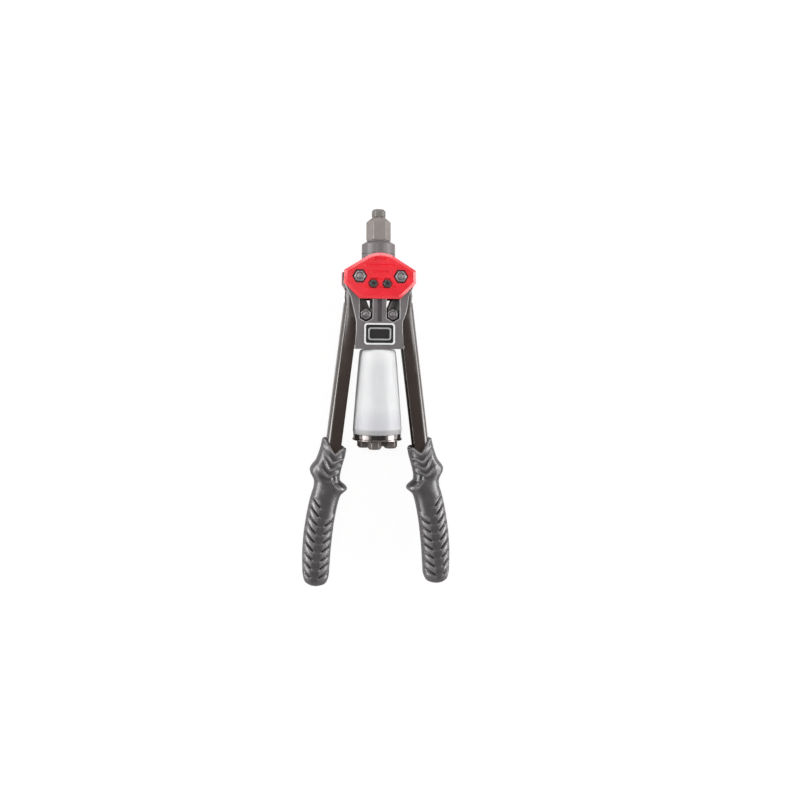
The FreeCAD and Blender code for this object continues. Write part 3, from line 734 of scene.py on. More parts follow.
def node_mesh(node: str) -> bmesh.types.BMesh:
    """A copy of a CAD node's shape with its flat faces merged.

    Args:
        node: the CAD node's name.

    Returns:
        The mesh in millimetres.
    """
    bm = bmesh.new()
    bm.from_mesh(frame["nodes"][node].data)
    bmesh.ops.scale(bm, vec=(1 / MM,) * 3, verts=bm.verts)
    bmesh.ops.remove_doubles(bm, verts=bm.verts, dist=0.002)
    bmesh.ops.dissolve_limit(bm, angle_limit=math.radians(1), verts=bm.verts, edges=bm.edges)
    return bm


def softened_node(node: str, width: float, segments: int = 2) -> bmesh.types.BMesh:
    """A CAD node's shape with its edges rounded.

    Args:
        node: the CAD node's name.
        width: the rounding's width in millimetres.
        segments: faces across the rounding.

    Returns:
        The mesh in millimetres.
    """
    bm = node_mesh(node)
    soften(bm, width, segments)
    return bm


def stand_up(bm: bmesh.types.BMesh, extent: Extent, front: bool) -> None:
    """Turn a fastener made round the Y axis upright and seat it in its node's box.

    The hexagon's corners end up where the node has them: along the box's longer side.

    Args:
        bm: the fastener, with the top of its head at 0 and its flats facing up and down.
        extent: the box of its node.
        front: whether its head faces the front.
    """
    if extent.size.y > extent.size.x:
        bmesh.ops.rotate(bm, matrix=Matrix.Rotation(math.pi / 6, 3, "Y"), verts=bm.verts)
    way = 1 if front else -1
    bmesh.ops.rotate(bm, matrix=Matrix.Rotation(way * math.pi / 2, 3, "X"), verts=bm.verts)
    top = extent.high.z if front else extent.low.z
    bmesh.ops.translate(bm, vec=(extent.centre.x, extent.centre.y, top), verts=bm.verts)


# ------------------------------------------------------------------------- nose
@dataclass
class Nosepiece:
    """A hexagonal nosepiece with turned ends, in use or spare."""

    node: str
    body: Body
    spare: bool = False
    head: float = 7.3
    rim: float = 1.5
    rim_radius: float = 4.9
    corner: float = 6.1
    back_edge: float = 0.9
    bore: float = 1.7
    shank: float = 4.0
    tail: float = 2.9
    tail_length: float = 1.6
    crispness: float = 60

    def profile(self, apothem: float, length: float) -> Profile:
        """The turned outline, from the bore's far end round to the tail.

        Args:
            apothem: half the width across flats.
            length: the whole length.

        Returns:
            Points as (radius, y).
        """
        profile = [(self.bore, -length), (self.bore, -0.6), (self.bore + 0.5, 0.0)]
        profile += [(self.rim_radius - 0.35 + 0.35 * math.sin(a), -0.35 + 0.35 * math.cos(a))
                    for a in (0.0, 0.5, 1.0)]
        profile += fine_profile([(self.rim_radius, -0.4), (self.corner - 0.05, -self.rim),
                                 (self.corner, -self.rim - 0.3)], 0.2)
        profile += fine_profile([(self.corner, -self.head + self.back_edge),
                                 (apothem, -self.head + 0.3), (apothem - 0.15, -self.head)],
                                0.2)
        profile += [(self.shank, -self.head), (self.shank, -length + self.tail_length),
                    (self.tail, -length)]
        return profile

    def build(self) -> bpy.types.Object:
        """Make the piece at its node's place.

        Returns:
            The piece.
        """
        extent = Extent(self.node)
        apothem = extent.size.z / 2
        bm = turned(self.profile(apothem, extent.size.y), 144, closed=True)
        hexed(bm, apothem, self.crispness, 1.0, -self.head + 0.2)
        where = Vector((extent.centre.x, extent.high.y, extent.centre.z))
        if self.spare:
            bmesh.ops.rotate(bm, matrix=Matrix.Rotation(math.pi, 3, "X"), verts=bm.verts)
            where.y = extent.low.y
        bmesh.ops.translate(bm, vec=where, verts=bm.verts)
        finish = "spare" if self.spare else "tip"
        return new_piece(bm, f"{self.node}_turned", self.body, finish, "dark_steel",
                         [self.node])


@dataclass
class NoseSleeve:
    """The 19 mm hexagon that holds the nosepiece."""

    bevel: float = 4.3
    head: float = 20.3
    neck: float = 6.3
    back_bevel: float = 0.9
    shank: float = 9.0
    socket: float = 4.1
    case_room: float = 7.1
    front_wall: float = 8.0
    crispness: float = 90

    def build(self) -> bpy.types.Object:
        """Make the sleeve.

        Returns:
            The piece.
        """
        extent = Extent("nose_sleeve")
        front = extent.high.y
        apothem = extent.size.z / 2
        corner = apothem / math.cos(math.pi / 6)
        back = front - self.head
        profile = [(self.socket, front), (self.neck - 0.35, front)]
        profile += fine_profile([(self.neck, front - 0.35), (corner, front - self.bevel),
                                 (corner, front - self.bevel - 1.2)], 0.25)
        profile += fine_profile([(corner, back + self.back_bevel + 0.6),
                                 (corner, back + self.back_bevel),
                                 (corner - self.back_bevel, back)], 0.25)
        profile += [(self.shank, back), (self.shank, back - 1.4),
                    (self.shank, extent.low.y), (self.case_room, extent.low.y),
                    (self.case_room, front - self.front_wall),
                    (self.socket, front - self.front_wall)]
        bm = turned(profile, 192, closed=True)
        hexed(bm, apothem, self.crispness, front + 1, back - 0.05)
        return new_piece(bm, "nose_sleeve_turned", Body.FRAME, "nose", "grey_steel",
                         ["nose_sleeve"])


# ------------------------------------------------------------------------- head
@dataclass
class Casting:
    """The die-cast head, from its round neck to the bottle's spigot."""

    rounding: float = 0.6
    rib: float = 1.9
    groove_top: float = -80.0
    groove_end: float = -99.0
    groove_floor: float = 10.6
    groove_height: float = 9.0
    groove_corner: float = 0.6
    neck_clear: float = -62.0
    rib_clear: float = 1.2

    def build(self) -> bpy.types.Object:
        """Make the casting with eased edges and a deep groove between its middle ribs.

        Returns:
            The piece.
        """
        middle = (self.groove_top + self.groove_end) / 2
        half = (self.groove_top - self.groove_end) / 2
        groove = moved(rounded_box(self.rib, half, self.groove_corner, 4), 0, middle)
        bm = with_boolean(node_mesh("frame"),
                          prism(groove, self.groove_floor, self.groove_floor + self.groove_height))
        soften(bm, self.rounding, 3, where=self.plain_edge, clamp=False)
        soften(bm, self.rounding, 3)
        return new_piece(bm, "casting", Body.FRAME, "casting", "casting_paint", ["frame"])

    def plain_edge(self, middle: Vector) -> bool:
        """Whether an edge's middle lies clear of the neck and the middle groove."""
        return middle.y < self.neck_clear and abs(middle.x) > self.rib + self.rib_clear


@dataclass
class Cover:
    """A red cover: slightly crowned, with a bevelled rim, hexagonal pockets and pressed bars.

    Each bar is given as its half length, its distance behind the front edge and its half
    width.
    """

    bevel: float = 2.5
    bevel_drop: float = 1.4
    edge: float = 0.3
    crown: float = 0.6
    arc_half_width: float = 10.8
    arc_rise: float = 2.6
    shoulder: float = 15.1
    side_end: float = 26.3
    end_half_width: float = 17.5
    pocket: float = 5.75
    screw_pocket: float = 4.25
    screw_floor: float = 1.4
    bar_depth: float = 0.9
    bar_slope: float = 0.5
    slices_to: int = 30
    slice_step: int = 5
    slice_shift: float = 0.37
    bars: tuple[tuple[float, float, float], ...] = (
        (6.3, 5.2, 0.9), (13.6, 10.9, 1.0), (7.9, 16.6, 1.0), (9.5, 22.6, 0.8),
        (14.4, 29.3, 1.0))

    def outline(self, extent: Extent) -> Outline:
        """The cover's edge, seen from the front.

        Args:
            extent: the box of the cover's node.

        Returns:
            Points as (x, y).
        """
        half = extent.size.x / 2
        front = extent.high.y
        arc_radius = (self.arc_half_width ** 2 + self.arc_rise ** 2) / (2 * self.arc_rise)
        spread = math.asin(self.arc_half_width / arc_radius)
        centre = front - arc_radius
        points = []
        steps = 14
        for i in range(steps + 1):
            angle = -spread + 2 * spread * i / steps
            points.append((arc_radius * math.sin(angle), centre + arc_radius * math.cos(angle)))
        right = [(half, front - self.shoulder), (half, front - self.side_end),
                 (self.end_half_width, extent.low.y)]
        points += right
        points += [(-x, y) for x, y in reversed(right)]
        return points

    def build(self, node: str, front: bool) -> bpy.types.Object:
        """Make a cover.

        Args:
            node: the CAD node that it stands for.
            front: whether it is the front cover.

        Returns:
            The piece.
        """
        extent = Extent("front_cover")
        low, high = extent.low.z, extent.high.z
        bm = prism(self.outline(extent), low, high)
        rim = [edge for edge in bm.edges
               if all(abs(vert.co.z - high) < 0.01 for vert in edge.verts)]
        bmesh.ops.bevel(bm, geom=rim, offset=self.bevel, offset_type="OFFSET", segments=1,
                        profile=0.5, affect="EDGES", clamp_overlap=True, material=-1)
        for vert in bm.verts:
            if abs(vert.co.z - high + self.bevel) < 0.01:
                vert.co.z = high - self.bevel_drop
        for cutter in self.cutters(extent, low, high):
            bm = with_boolean(bm, cutter)
        soften(bm, self.edge, 3, 35, lambda middle: middle.z > low + 0.2)
        self.raise_crown(bm, extent.size.x / 2, low, high)
        if not front:
            bmesh.ops.scale(bm, vec=(1, 1, -1), verts=bm.verts)
            bmesh.ops.reverse_faces(bm, faces=bm.faces)
        return new_piece(bm, f"{node}_enamelled", Body.FRAME, "cover", "red_paint", [node],
                         20)

    def raise_crown(self, bm: bmesh.types.BMesh, half: float, low: float,
                    high: float) -> None:
        """Let the face fall away towards both ends.

        Args:
            bm: the cover's mesh.
            half: the cover's half width.
            low: the height of its underside.
            high: the height of its face.
        """
        for start in range(-self.slices_to, self.slices_to + 1, self.slice_step):
            cut = bm.verts[:] + bm.edges[:] + bm.faces[:]
            bmesh.ops.bisect_plane(bm, geom=cut, dist=0.0005,
                                   plane_co=(start + self.slice_shift, 0, 0),
                                   plane_no=(1, 0, 0))
        for vert in bm.verts:
            lift = (vert.co.z - low) / (high - low)
            vert.co.z -= self.crown * lift * (vert.co.x / half) ** 2

    def cutters(self, extent: Extent, low: float, high: float) -> list[bmesh.types.BMesh]:
        """The solids that the pockets and bars are cut with.

        Args:
            extent: the box of the cover's node.
            low: the height of its underside.
            high: the height of its face.

        Returns:
            One closed mesh for each cut.
        """
        bolt = Extent("right_pivot_bolt").centre
        screw = Extent("right_front_screw").centre
        tools = []
        for side in Side:
            for centre, apothem, floor in ((bolt, self.pocket, low - 1),
                                           (screw, self.screw_pocket, low + self.screw_floor)):
                reach = apothem / math.cos(math.pi / 6)
                hexagon = [(centre.x * side.value + reach * math.cos(math.pi / 3 * i),
                            centre.y + reach * math.sin(math.pi / 3 * i)) for i in range(6)]
                tools.append(prism(hexagon, floor, high + 1))
        for half_length, behind, half_width in self.bars:
            bar = moved(rounded_box(half_length, half_width, half_width * 0.9, 3), 0,
                        extent.high.y - behind)
            tool = prism(bar, high - self.bar_depth, high + self.bar_depth)
            middle = extent.high.y - behind
            for vert in tool.verts:
                slope = math.copysign(self.bar_slope, vert.co.z - high)
                vert.co.y = middle + (vert.co.y - middle) * (1 + slope / half_width)
                vert.co.x *= 1 + slope / half_length
            tools.append(tool)
        return tools


@dataclass
class Badge:
    """A bare name plate: white rim, black field and a grey inner frame."""

    corner: float = 2.6
    rim: float = 1.45
    inner_half_x: float = 10.0
    inner_half_y: float = 5.5
    inner_line: float = 1.3
    inner_corner: float = 2.2
    rise: float = 0.35
    edge: float = 0.12

    def build(self) -> list[bpy.types.Object]:
        """Make the plate, its rim and its inner frame.

        Returns:
            The three pieces.
        """
        extent = Extent("badge")
        centre = extent.centre
        half_x = extent.size.x / 2
        half_y = extent.size.y / 2
        low, high = extent.low.z, extent.high.z
        field_top = high - self.rise
        field = prism(moved(rounded_box(half_x - 0.4, half_y - 0.4, self.corner), 0, centre.y),
                      low, field_top)
        rim = self.ring(half_x, half_y, self.rim, self.corner, centre.y, low, high)
        inner = self.ring(self.inner_half_x, self.inner_half_y, self.inner_line,
                          self.inner_corner, centre.y, field_top - 0.1,
                          field_top + self.rise * 0.6)
        return [
            new_piece(field, "badge_field", Body.FRAME, "badge_field", "badge_metal",
                      ["badge"]),
            new_piece(rim, "badge_rim", Body.FRAME, "badge_rim", "badge_metal"),
            new_piece(inner, "badge_inner_frame", Body.FRAME, "badge_inner", "badge_metal"),
        ]

    def ring(self, half_x: float, half_y: float, line: float, corner: float, y: float,
             low: float, high: float) -> bmesh.types.BMesh:
        """A rounded rectangular ring.

        Args:
            half_x: half its width.
            half_y: half its height.
            line: the width of its line.
            corner: its outer corner radius.
            y: the place of its middle.
            low: the height of its underside.
            high: the height of its face.

        Returns:
            The closed mesh.
        """
        outer = prism(moved(rounded_box(half_x, half_y, corner, 8), 0, y), low, high)
        hole = prism(moved(rounded_box(half_x - line, half_y - line,
                                       max(0.5, corner - line * 0.6), 8), 0, y),
                     low - 1, high + 1)
        bm = with_boolean(outer, hole)
        soften(bm, self.edge, 2, 40, lambda middle: middle.z > low + 0.05)
        return bm


@dataclass
class HexBolt:
    """A hexagon bolt whose head has a ring groove round a low disc."""

    node: str
    body: Body
    head: float = 4.0
    shank: float = 3.0
    disc: float = 2.3
    groove: float = 3.3
    groove_depth: float = 1.5
    taper: tuple[float, float] = (0.8, 2.6)
    crispness: float = 60

    def profile(self, apothem: float, length: float) -> Profile:
        """The turned outline, from the middle of the head down to the shank's end.

        Args:
            apothem: half the width across flats.
            length: the bolt's whole length.

        Returns:
            Points as (radius, y), with the top of the head at 0.
        """
        corner = apothem / math.cos(math.pi / 6)
        profile = [(0.0, -0.1), (self.disc * 0.6, -0.13), (self.disc, -0.3),
                   (self.disc + 0.2, -self.groove_depth), (self.groove, -self.groove_depth),
                   (self.groove + 0.15, -0.12), (self.groove + 0.3, 0.0)]
        profile += fine_profile([(apothem - 0.85, 0.0), (apothem - 0.3, -0.2),
                                 (corner, -0.95), (corner, -1.3)], 0.18)
        profile += [(corner, -self.head + 0.45), (apothem - 0.1, -self.head),
                    (self.shank, -self.head), (self.shank, -length + 0.5),
                    (self.shank - 0.5, -length), (0.0, -length)]
        return profile

    def build(self) -> bpy.types.Object:
        """Make the bolt.

        Returns:
            The piece.
        """
        extent = Extent(self.node)
        apothem = min(extent.size.x, extent.size.y) / 2
        bm = turned(self.profile(apothem, extent.size.z), 96)
        hexed(bm, apothem, self.crispness, 0.5, -self.head - 0.05, self.taper)
        stand_up(bm, extent, front=True)
        return new_piece(bm, f"{self.node}_head", self.body, "fastener", "fastener_steel",
                         [self.node])


@dataclass
class HexNut:
    """A nut with chamfered corners, facing the rear."""

    node: str
    body: Body
    bore: float = 3.0
    crispness: float = 60

    def build(self) -> bpy.types.Object:
        """Make the nut.

        Returns:
            The piece.
        """
        extent = Extent(self.node)
        apothem = min(extent.size.x, extent.size.y) / 2
        corner = apothem / math.cos(math.pi / 6)
        height = extent.size.z
        profile = [(self.bore, -height), (self.bore, -0.4), (self.bore + 0.35, 0.0)]
        profile += fine_profile([(apothem - 0.4, 0.0), (corner, -0.8), (corner, -1.1)], 0.2)
        profile += [(corner, -height + 0.5), (apothem, -height)]
        bm = turned(profile, 96, closed=True)
        hexed(bm, apothem, self.crispness, 0.5, -height - 0.5)
        stand_up(bm, extent, front=False)
        return new_piece(bm, f"{self.node}_turned", self.body, "fastener", "fastener_steel",
                         [self.node])


@dataclass
class CoverScrew:
    """A small hexagon screw with a crossed recess."""

    node: str
    rear: bool = False
    head: float = 2.8
    shank: float = 2.0
    recess: float = 1.8
    slot: float = 0.8
    recess_depth: float = 2.0
    turn: float = 0.3
    taper: tuple[float, float] = (0.6, 2.0)
    crispness: float = 60

    def build(self) -> bpy.types.Object:
        """Make the screw.

        Returns:
            The piece.
        """
        extent = Extent(self.node)
        apothem = min(extent.size.x, extent.size.y) / 2
        corner = apothem / math.cos(math.pi / 6)
        profile: Profile = [(0.0, 0.0)]
        profile += fine_profile([(apothem - 0.6, 0.0), (corner, -0.9), (corner, -1.2)], 0.2)
        profile += [(corner, -self.head), (self.shank, -self.head),
                    (self.shank, -extent.size.z), (0.0, -extent.size.z)]
        bm = turned(profile, 72)
        hexed(bm, apothem, self.crispness, 0.5, -self.head - 0.05, self.taper)
        for turn in (self.turn, self.turn + math.pi / 2):
            bm = with_boolean(bm, self.blade(turn))
        stand_up(bm, extent, front=not self.rear)
        return new_piece(bm, f"{self.node}_crossed", Body.FRAME, "screw",
                         "fastener_steel", [self.node])

    def blade(self, turn: float) -> bmesh.types.BMesh:
        """One tapered blade of the driver that the recess is pressed with.

        Args:
            turn: its angle round the screw.

        Returns:
            The blade, pointing down the Y axis.
        """
        blade = prism(rounded_box(self.recess, self.slot, 0.3, 3), -self.recess_depth, 1.0)
        for vert in blade.verts:
            if vert.co.z < 0:
                vert.co.x *= 0.55
                vert.co.y *= 0.7
        bmesh.ops.rotate(blade, matrix=Matrix.Rotation(turn, 3, "Z"), verts=blade.verts)
        bmesh.ops.rotate(blade, matrix=Matrix.Rotation(-math.pi / 2, 3, "X"),
                         verts=blade.verts)
        return blade


# ------------------------------------------------------------------------- arms
@dataclass
class ArmLine:
    """The line that an arm and its grip follow, on the right side of the tool."""

    tilt: float = 7.0
    start_x: float = 20.7
    start_y: float = -60.1

    def point(self, along: float, across: float, height: float = 0.0) -> Vector:
        """A point beside the line.

        Args:
            along: the distance from the start.
            across: the distance outward.
            height: the distance towards the front.

        Returns:
            The point in millimetres.
        """
        tilt = math.radians(self.tilt)
        return Vector((self.start_x + along * math.sin(tilt) + across * math.cos(tilt),
                       self.start_y - along * math.cos(tilt) + across * math.sin(tilt),
                       height))


@dataclass
class Arm:
    """A folded steel channel with a round lobe on each cheek."""

    line: ArmLine
    width: float = 13.2
    sheet: float = 2.0
    fold: float = 5.0
    length: float = 252.0
    web_from: float = 21.0
    lobe: float = 12.0
    lobe_out: float = 0.6
    lobe_back: float = 4.0
    pin: float = 2.5
    bolt: float = 3.05
    edge: float = 0.35
    hidden_from: float = 160.0
    hidden_run: float = 8.0
    hidden_share: float = 0.82
    channel_before: float = 9.0
    cheek_run: float = 14.0
    cheek_before: float = 3.5
    cheek_tuck: float = 0.3
    mouth_slant: float = 5.0
    web_before: float = 4.0
    clear: float = 30.0
    drill_reach: float = 20.0

    def section(self, half_height: float) -> Outline:
        """The channel's section, open on the inner side.

        Args:
            half_height: half its height.

        Returns:
            Points as (across, height).
        """
        half = self.width / 2
        steps = 8
        outside: Outline = [(-half, half_height)]
        inner_fold = self.fold - self.sheet + 0.3
        inner_half = half - self.sheet
        inner_height = half_height - self.sheet
        inside: Outline = [(-half, inner_height)]
        for i in range(steps + 1):
            angle = math.pi / 2 * (1 - i / steps)
            outside.append((half - self.fold + self.fold * math.cos(angle),
                            half_height - self.fold + self.fold * math.sin(angle)))
            inside.append((inner_half - inner_fold + inner_fold * math.cos(angle),
                           inner_height - inner_fold + inner_fold * math.sin(angle)))
        outside += [(x, -z) for x, z in reversed(outside)]
        inside += [(x, -z) for x, z in reversed(inside)]
        return outside + list(reversed(inside))

    def channel(self, half_height: float) -> bmesh.types.BMesh:
        """The folded channel, with its web on the outer side.

        Args:
            half_height: half its height.

        Returns:
            The closed mesh.
        """
        start = self.web_from - self.channel_before
        bm = bmesh.new()
        corners = [bm.verts.new(self.line.point(start, across, height))
                   for across, height in self.section(half_height)]
        face = bm.faces.new(corners)
        grown = bmesh.ops.extrude_face_region(bm, geom=[face])["geom"]
        verts = [item for item in grown if isinstance(item, bmesh.types.BMVert)]
        way = self.line.point(self.length, 0) - self.line.point(start, 0)
        bmesh.ops.translate(bm, vec=way, verts=verts)
        bmesh.ops.recalc_face_normals(bm, faces=bm.faces)
        return bm

    def thin_end(self, bm: bmesh.types.BMesh) -> None:
        """Draw the channel in where the grip hides it.

        Args:
            bm: the arm's mesh.
        """
        start = self.line.point(0, 0)
        along = self.line.point(1, 0) - start
        across = self.line.point(0, 1) - start
        for place in (self.hidden_from, self.hidden_from + self.hidden_run):
            bmesh.ops.bisect_plane(bm, geom=bm.verts[:] + bm.edges[:] + bm.faces[:],
                                   dist=0.0005, plane_co=self.line.point(place, 0),
                                   plane_no=along)
        for vert in bm.verts:
            offset = vert.co - start
            reach = min(1.0, (offset.dot(along) - self.hidden_from) / self.hidden_run)
            if reach > 0:
                less = (1 - self.hidden_share) * reach
                vert.co.z *= 1 - less
                vert.co -= across * offset.dot(across) * less

    def slab(self, spots: Outline, low: float, high: float) -> bmesh.types.BMesh:
        """A prism over an outline drawn along and across the arm.

        Args:
            spots: the outline as (along, across).
            low: the height of its underside.
            high: the height of its top.

        Returns:
            The closed mesh.
        """
        return prism([tuple(self.line.point(*spot).xy) for spot in spots], low, high)

    def cheek(self, pivot: Vector, low: float, high: float) -> bmesh.types.BMesh:
        """A cheek's head: the round lobe and the start of the straight.

        Args:
            pivot: the middle of the pivot bolt.
            low: the height of its underside.
            high: the height of its top.

        Returns:
            The closed mesh.
        """
        half = self.width / 2
        start = self.line.point(0, 0)
        offset = Vector((pivot.x + self.lobe_out, pivot.y - self.lobe_back, 0)) - start
        along = offset.dot(self.line.point(1, 0) - start)
        across = offset.dot(self.line.point(0, 1) - start)
        first = math.acos((half - self.cheek_tuck - across) / self.lobe)
        last = -math.tau + math.acos((-half - across) / self.lobe)
        steps = 48
        spots: Outline = [(self.web_from + self.cheek_run, half - self.fold),
                          (self.web_from - self.cheek_before, half - self.cheek_tuck)]
        for i in range(steps + 1):
            angle = first + (last - first) * i / steps
            spots.append((along + self.lobe * math.sin(angle),
                          across + self.lobe * math.cos(angle)))
        spots.append((self.web_from + self.cheek_run, -half))
        return self.slab(spots, low, high)

    def build(self, side: Side, body: Body) -> bpy.types.Object:
        """Make an arm.

        Args:
            side: the side of the tool.
            body: the body that it rides on.

        Returns:
            The piece.
        """
        half_height = Extent("right_arm").size.z / 2
        pivot = Extent("right_pivot_bolt").centre
        crank = Extent("right_crank_pin").centre
        room = half_height - self.sheet
        face = self.width / 2 - self.fold
        clear = self.clear
        web_end = self.web_from - self.web_before
        bm = self.channel(half_height)
        mouth = [(-clear, -clear), (-clear, clear), (self.web_from, clear),
                 (self.web_from + self.mouth_slant, -clear)]
        bm = with_boolean(bm, self.slab(mouth, -room, room))
        web = [(-clear, face), (-clear, clear), (web_end, clear), (web_end, face)]
        bm = with_boolean(bm, self.slab(web, -half_height - 1, half_height + 1))
        for low in (room, -half_height):
            bm = with_boolean(bm, self.cheek(pivot, low, low + self.sheet), "UNION")
        for centre, radius in ((pivot, self.bolt), (crank, self.pin)):
            drill = turned([(0, -self.drill_reach), (radius, -self.drill_reach),
                            (radius, self.drill_reach), (0, self.drill_reach)], 48)
            bmesh.ops.rotate(drill, matrix=Matrix.Rotation(math.pi / 2, 3, "X"),
                             verts=drill.verts)
            bmesh.ops.translate(drill, vec=(centre.x, centre.y, 0), verts=drill.verts)
            bm = with_boolean(bm, drill)
        soften(bm, self.edge, 2, 50)
        self.thin_end(bm)
        if side is Side.LEFT:
            bm = mirrored_copy(bm)
        return new_piece(bm, f"{side.word}_arm_folded", body, "arm", "black_gloss_paint",
                         [f"{side.word}_arm"], 30)


# ------------------------------------------------------------------------- grips
def smooth_curve(stations: Sequence[tuple[float, float]], place: float) -> float:
    """A value between stations by a monotone cubic, held at both ends.

    Args:
        stations: pairs of (place, value) in rising order.
        place: where the value is wanted.

    Returns:
        The value.
    """
    if place <= stations[0][0]:
        return stations[0][1]
    if place >= stations[-1][0]:
        return stations[-1][1]
    index = next(i for i in range(len(stations) - 1) if place <= stations[i + 1][0])

    def slope(i: int) -> float:
        """The tangent at a station, flat at both ends and at each turn."""
        if i <= 0 or i >= len(stations) - 1:
            return 0.0
        before = (stations[i][1] - stations[i - 1][1]) / (stations[i][0] - stations[i - 1][0])
        after = (stations[i + 1][1] - stations[i][1]) / (stations[i + 1][0] - stations[i][0])
        if before * after <= 0:
            return 0.0
        return 2 * before * after / (before + after)

    (x0, y0), (x1, y1) = stations[index], stations[index + 1]
    run = x1 - x0
    t = (place - x0) / run
    return ((2 * t ** 3 - 3 * t ** 2 + 1) * y0 + (t ** 3 - 2 * t ** 2 + t) * run * slope(index)
            + (3 * t ** 2 - 2 * t ** 3) * y1 + (t ** 3 - t ** 2) * run * slope(index + 1))


def ease(low: float, high: float, value: float) -> float:
    """A smooth step from 0 at low to 1 at high; low may be the larger one."""
    t = min(1.0, max(0.0, (value - low) / (high - low)))
    return t * t * (3 - 2 * t)


@dataclass
class Grip:
    """A moulded rubber grip: notched collar, thumb rest, finger guard and chevrons.

    The mesh runs in rows across the grip. Each row is drawn forward on both sides of its
    middle, as the notch, the ridges and the chevrons are, so that they lie along the rows.
    Every curve is given as stations of (place along the grip, value).
    """

    line: ArmLine
    around: int = 144
    step: float = 0.55
    first: float = 154.7
    last: float = 271.3
    squareness: float = 2.5
    end_depth: float = 6.5
    collar_wall: float = 2.0
    side_wall: float = 3.9
    collar_depth: float = 8.0
    rim: float = 0.8
    rim_behind: float = 1.3
    rim_width: float = 0.8
    ridges: tuple[float, ...] = (163.0, 169.2, 175.0)
    ridge: float = 1.25
    ridge_width: float = 1.6
    ridge_drop: float = 0.15
    valley: float = 0.4
    valleys_start: tuple[float, float] = (157.5, 160.0)
    valleys_end: tuple[float, float] = (177.5, 181.0)
    chevron: float = 1.3
    pitch: float = 7.55
    chevrons_end: float = 263.0
    outer_from: float = 197.5
    inner_from: float = 212.0
    body_end: float = 268.0

    outer_edge: Stations = (
        (142.5, 10.3), (150.0, 10.8), (156.0, 11.8), (163.0, 13.7), (168.0, 16.8),
        (171.0, 17.7), (174.0, 16.9), (178.0, 14.2), (182.0, 12.5), (186.0, 12.4),
        (192.0, 13.4), (200.0, 14.5), (212.0, 15.4), (226.0, 15.8), (240.0, 15.2),
        (252.0, 13.9), (262.0, 12.3), (267.0, 11.2))
    inner_edge: Stations = (
        (146.0, 12.2), (151.0, 11.9), (156.0, 11.6), (162.0, 10.7), (169.0, 9.7),
        (174.0, 9.4), (177.5, 10.6), (180.5, 14.0), (183.0, 16.3), (185.4, 16.6), (187.6, 15.0),
        (190.5, 12.4), (196.0, 10.9), (206.0, 9.9), (220.0, 9.3), (236.0, 9.5),
        (252.0, 10.3), (262.0, 10.8), (267.0, 10.4))
    half_height: Stations = (
        (142.0, 10.2), (150.0, 11.3), (158.0, 11.9), (171.0, 11.4), (178.0, 10.9),
        (186.0, 11.2), (196.0, 11.5), (212.0, 11.8), (240.0, 11.9), (262.0, 11.6),
        (267.0, 11.3))
    middle: Stations = (
        (156.0, -2.1), (163.0, -1.0), (169.0, 0.2), (175.0, 0.8), (186.0, 1.6),
        (196.0, 2.2), (266.0, 2.4))
    flat: Stations = (
        (156.0, 0.3), (163.0, 1.2), (175.0, 1.2), (190.0, 1.6), (200.0, 2.4), (240.0, 3.3))
    outer_sweep: Stations = (
        (156.0, 1.04), (172.0, 1.0), (179.0, 0.6), (187.0, 0.1), (192.0, 0.15),
        (202.0, 0.9), (262.0, 0.9), (269.0, 0.1))
    inner_sweep: Stations = (
        (156.0, 0.98), (165.0, 0.8), (172.0, 0.75), (179.0, 0.4), (187.0, 0.05),
        (200.0, 0.1), (211.0, 0.78), (262.0, 0.78), (269.0, 0.1))

    def forward(self, row: float, across: float) -> float:
        """How far a row's point lies in front of the row's middle.

        Args:
            row: the row's place at its middle.
            across: the point's place across the grip.

        Returns:
            The distance in millimetres.
        """
        aside = across - smooth_curve(self.middle, row)
        excess = abs(aside) - smooth_curve(self.flat, row)
        eased = 0.5 * (excess + math.sqrt(excess * excess + 1.2))
        sweep = self.outer_sweep if aside > 0 else self.inner_sweep
        return eased * smooth_curve(sweep, row)

    def ridge_relief(self, row: float, across: float) -> float:
        """The height of the rim and of the ridges behind it.

        Args:
            row: the row's place at its middle.
            across: the point's place across the grip.

        Returns:
            The height in millimetres.
        """
        behind = row - self.first - self.rim_behind
        height = self.rim * math.exp(-(behind / self.rim_width) ** 2)
        fade = 1 - ease(9.5, 12.5, abs(across + 0.5))
        for number, crest in enumerate(self.ridges):
            reach = abs(row - crest) / self.ridge_width
            if reach < 1:
                lowered = self.ridge * (1 - self.ridge_drop * number)
                height += lowered * fade * (1 - reach * reach) ** 2
        valleys = ease(*self.valleys_start, row) * (1 - ease(*self.valleys_end, row))
        return height - self.valley * fade * valleys

    def chevron_relief(self, row: float, across: float) -> float:
        """The height of the scales on both sides of the palm's middle strip.

        Args:
            row: the row's place at its middle.
            across: the point's place across the grip.

        Returns:
            The height in millimetres, negative in the grooves.
        """
        aside = across - smooth_curve(self.middle, row)
        start = self.outer_from if aside > 0 else self.inner_from
        if row < start - 1 or row > self.body_end:
            return 0.0
        fade = 1 - ease(self.chevrons_end, self.body_end, row)
        window = ease(start - 1, start + 1.5, row) * fade
        phase = ((row - self.outer_from - 1.6) / self.pitch) % 1.0
        groove = math.exp(-((phase - 0.5) / 0.11) ** 2)
        scale = ease(0.5, 0.66, phase) if phase > 0.5 else 1 - ease(0.0, 0.5, phase)
        edge = abs(aside) - smooth_curve(self.flat, row)
        strip = 0.22 + 0.78 * ease(-0.6, 1.0, edge)
        return self.chevron * window * strip * (0.55 * scale - 0.9 * groove - 0.2)

    def end_shrink(self, along: float) -> float:
        """How far the section has drawn in towards the rounded end."""
        reach = max(0.0, along - (self.last - self.end_depth)) / self.end_depth
        return math.sqrt(max(0.0, 1 - min(1.0, reach) ** 2.8))

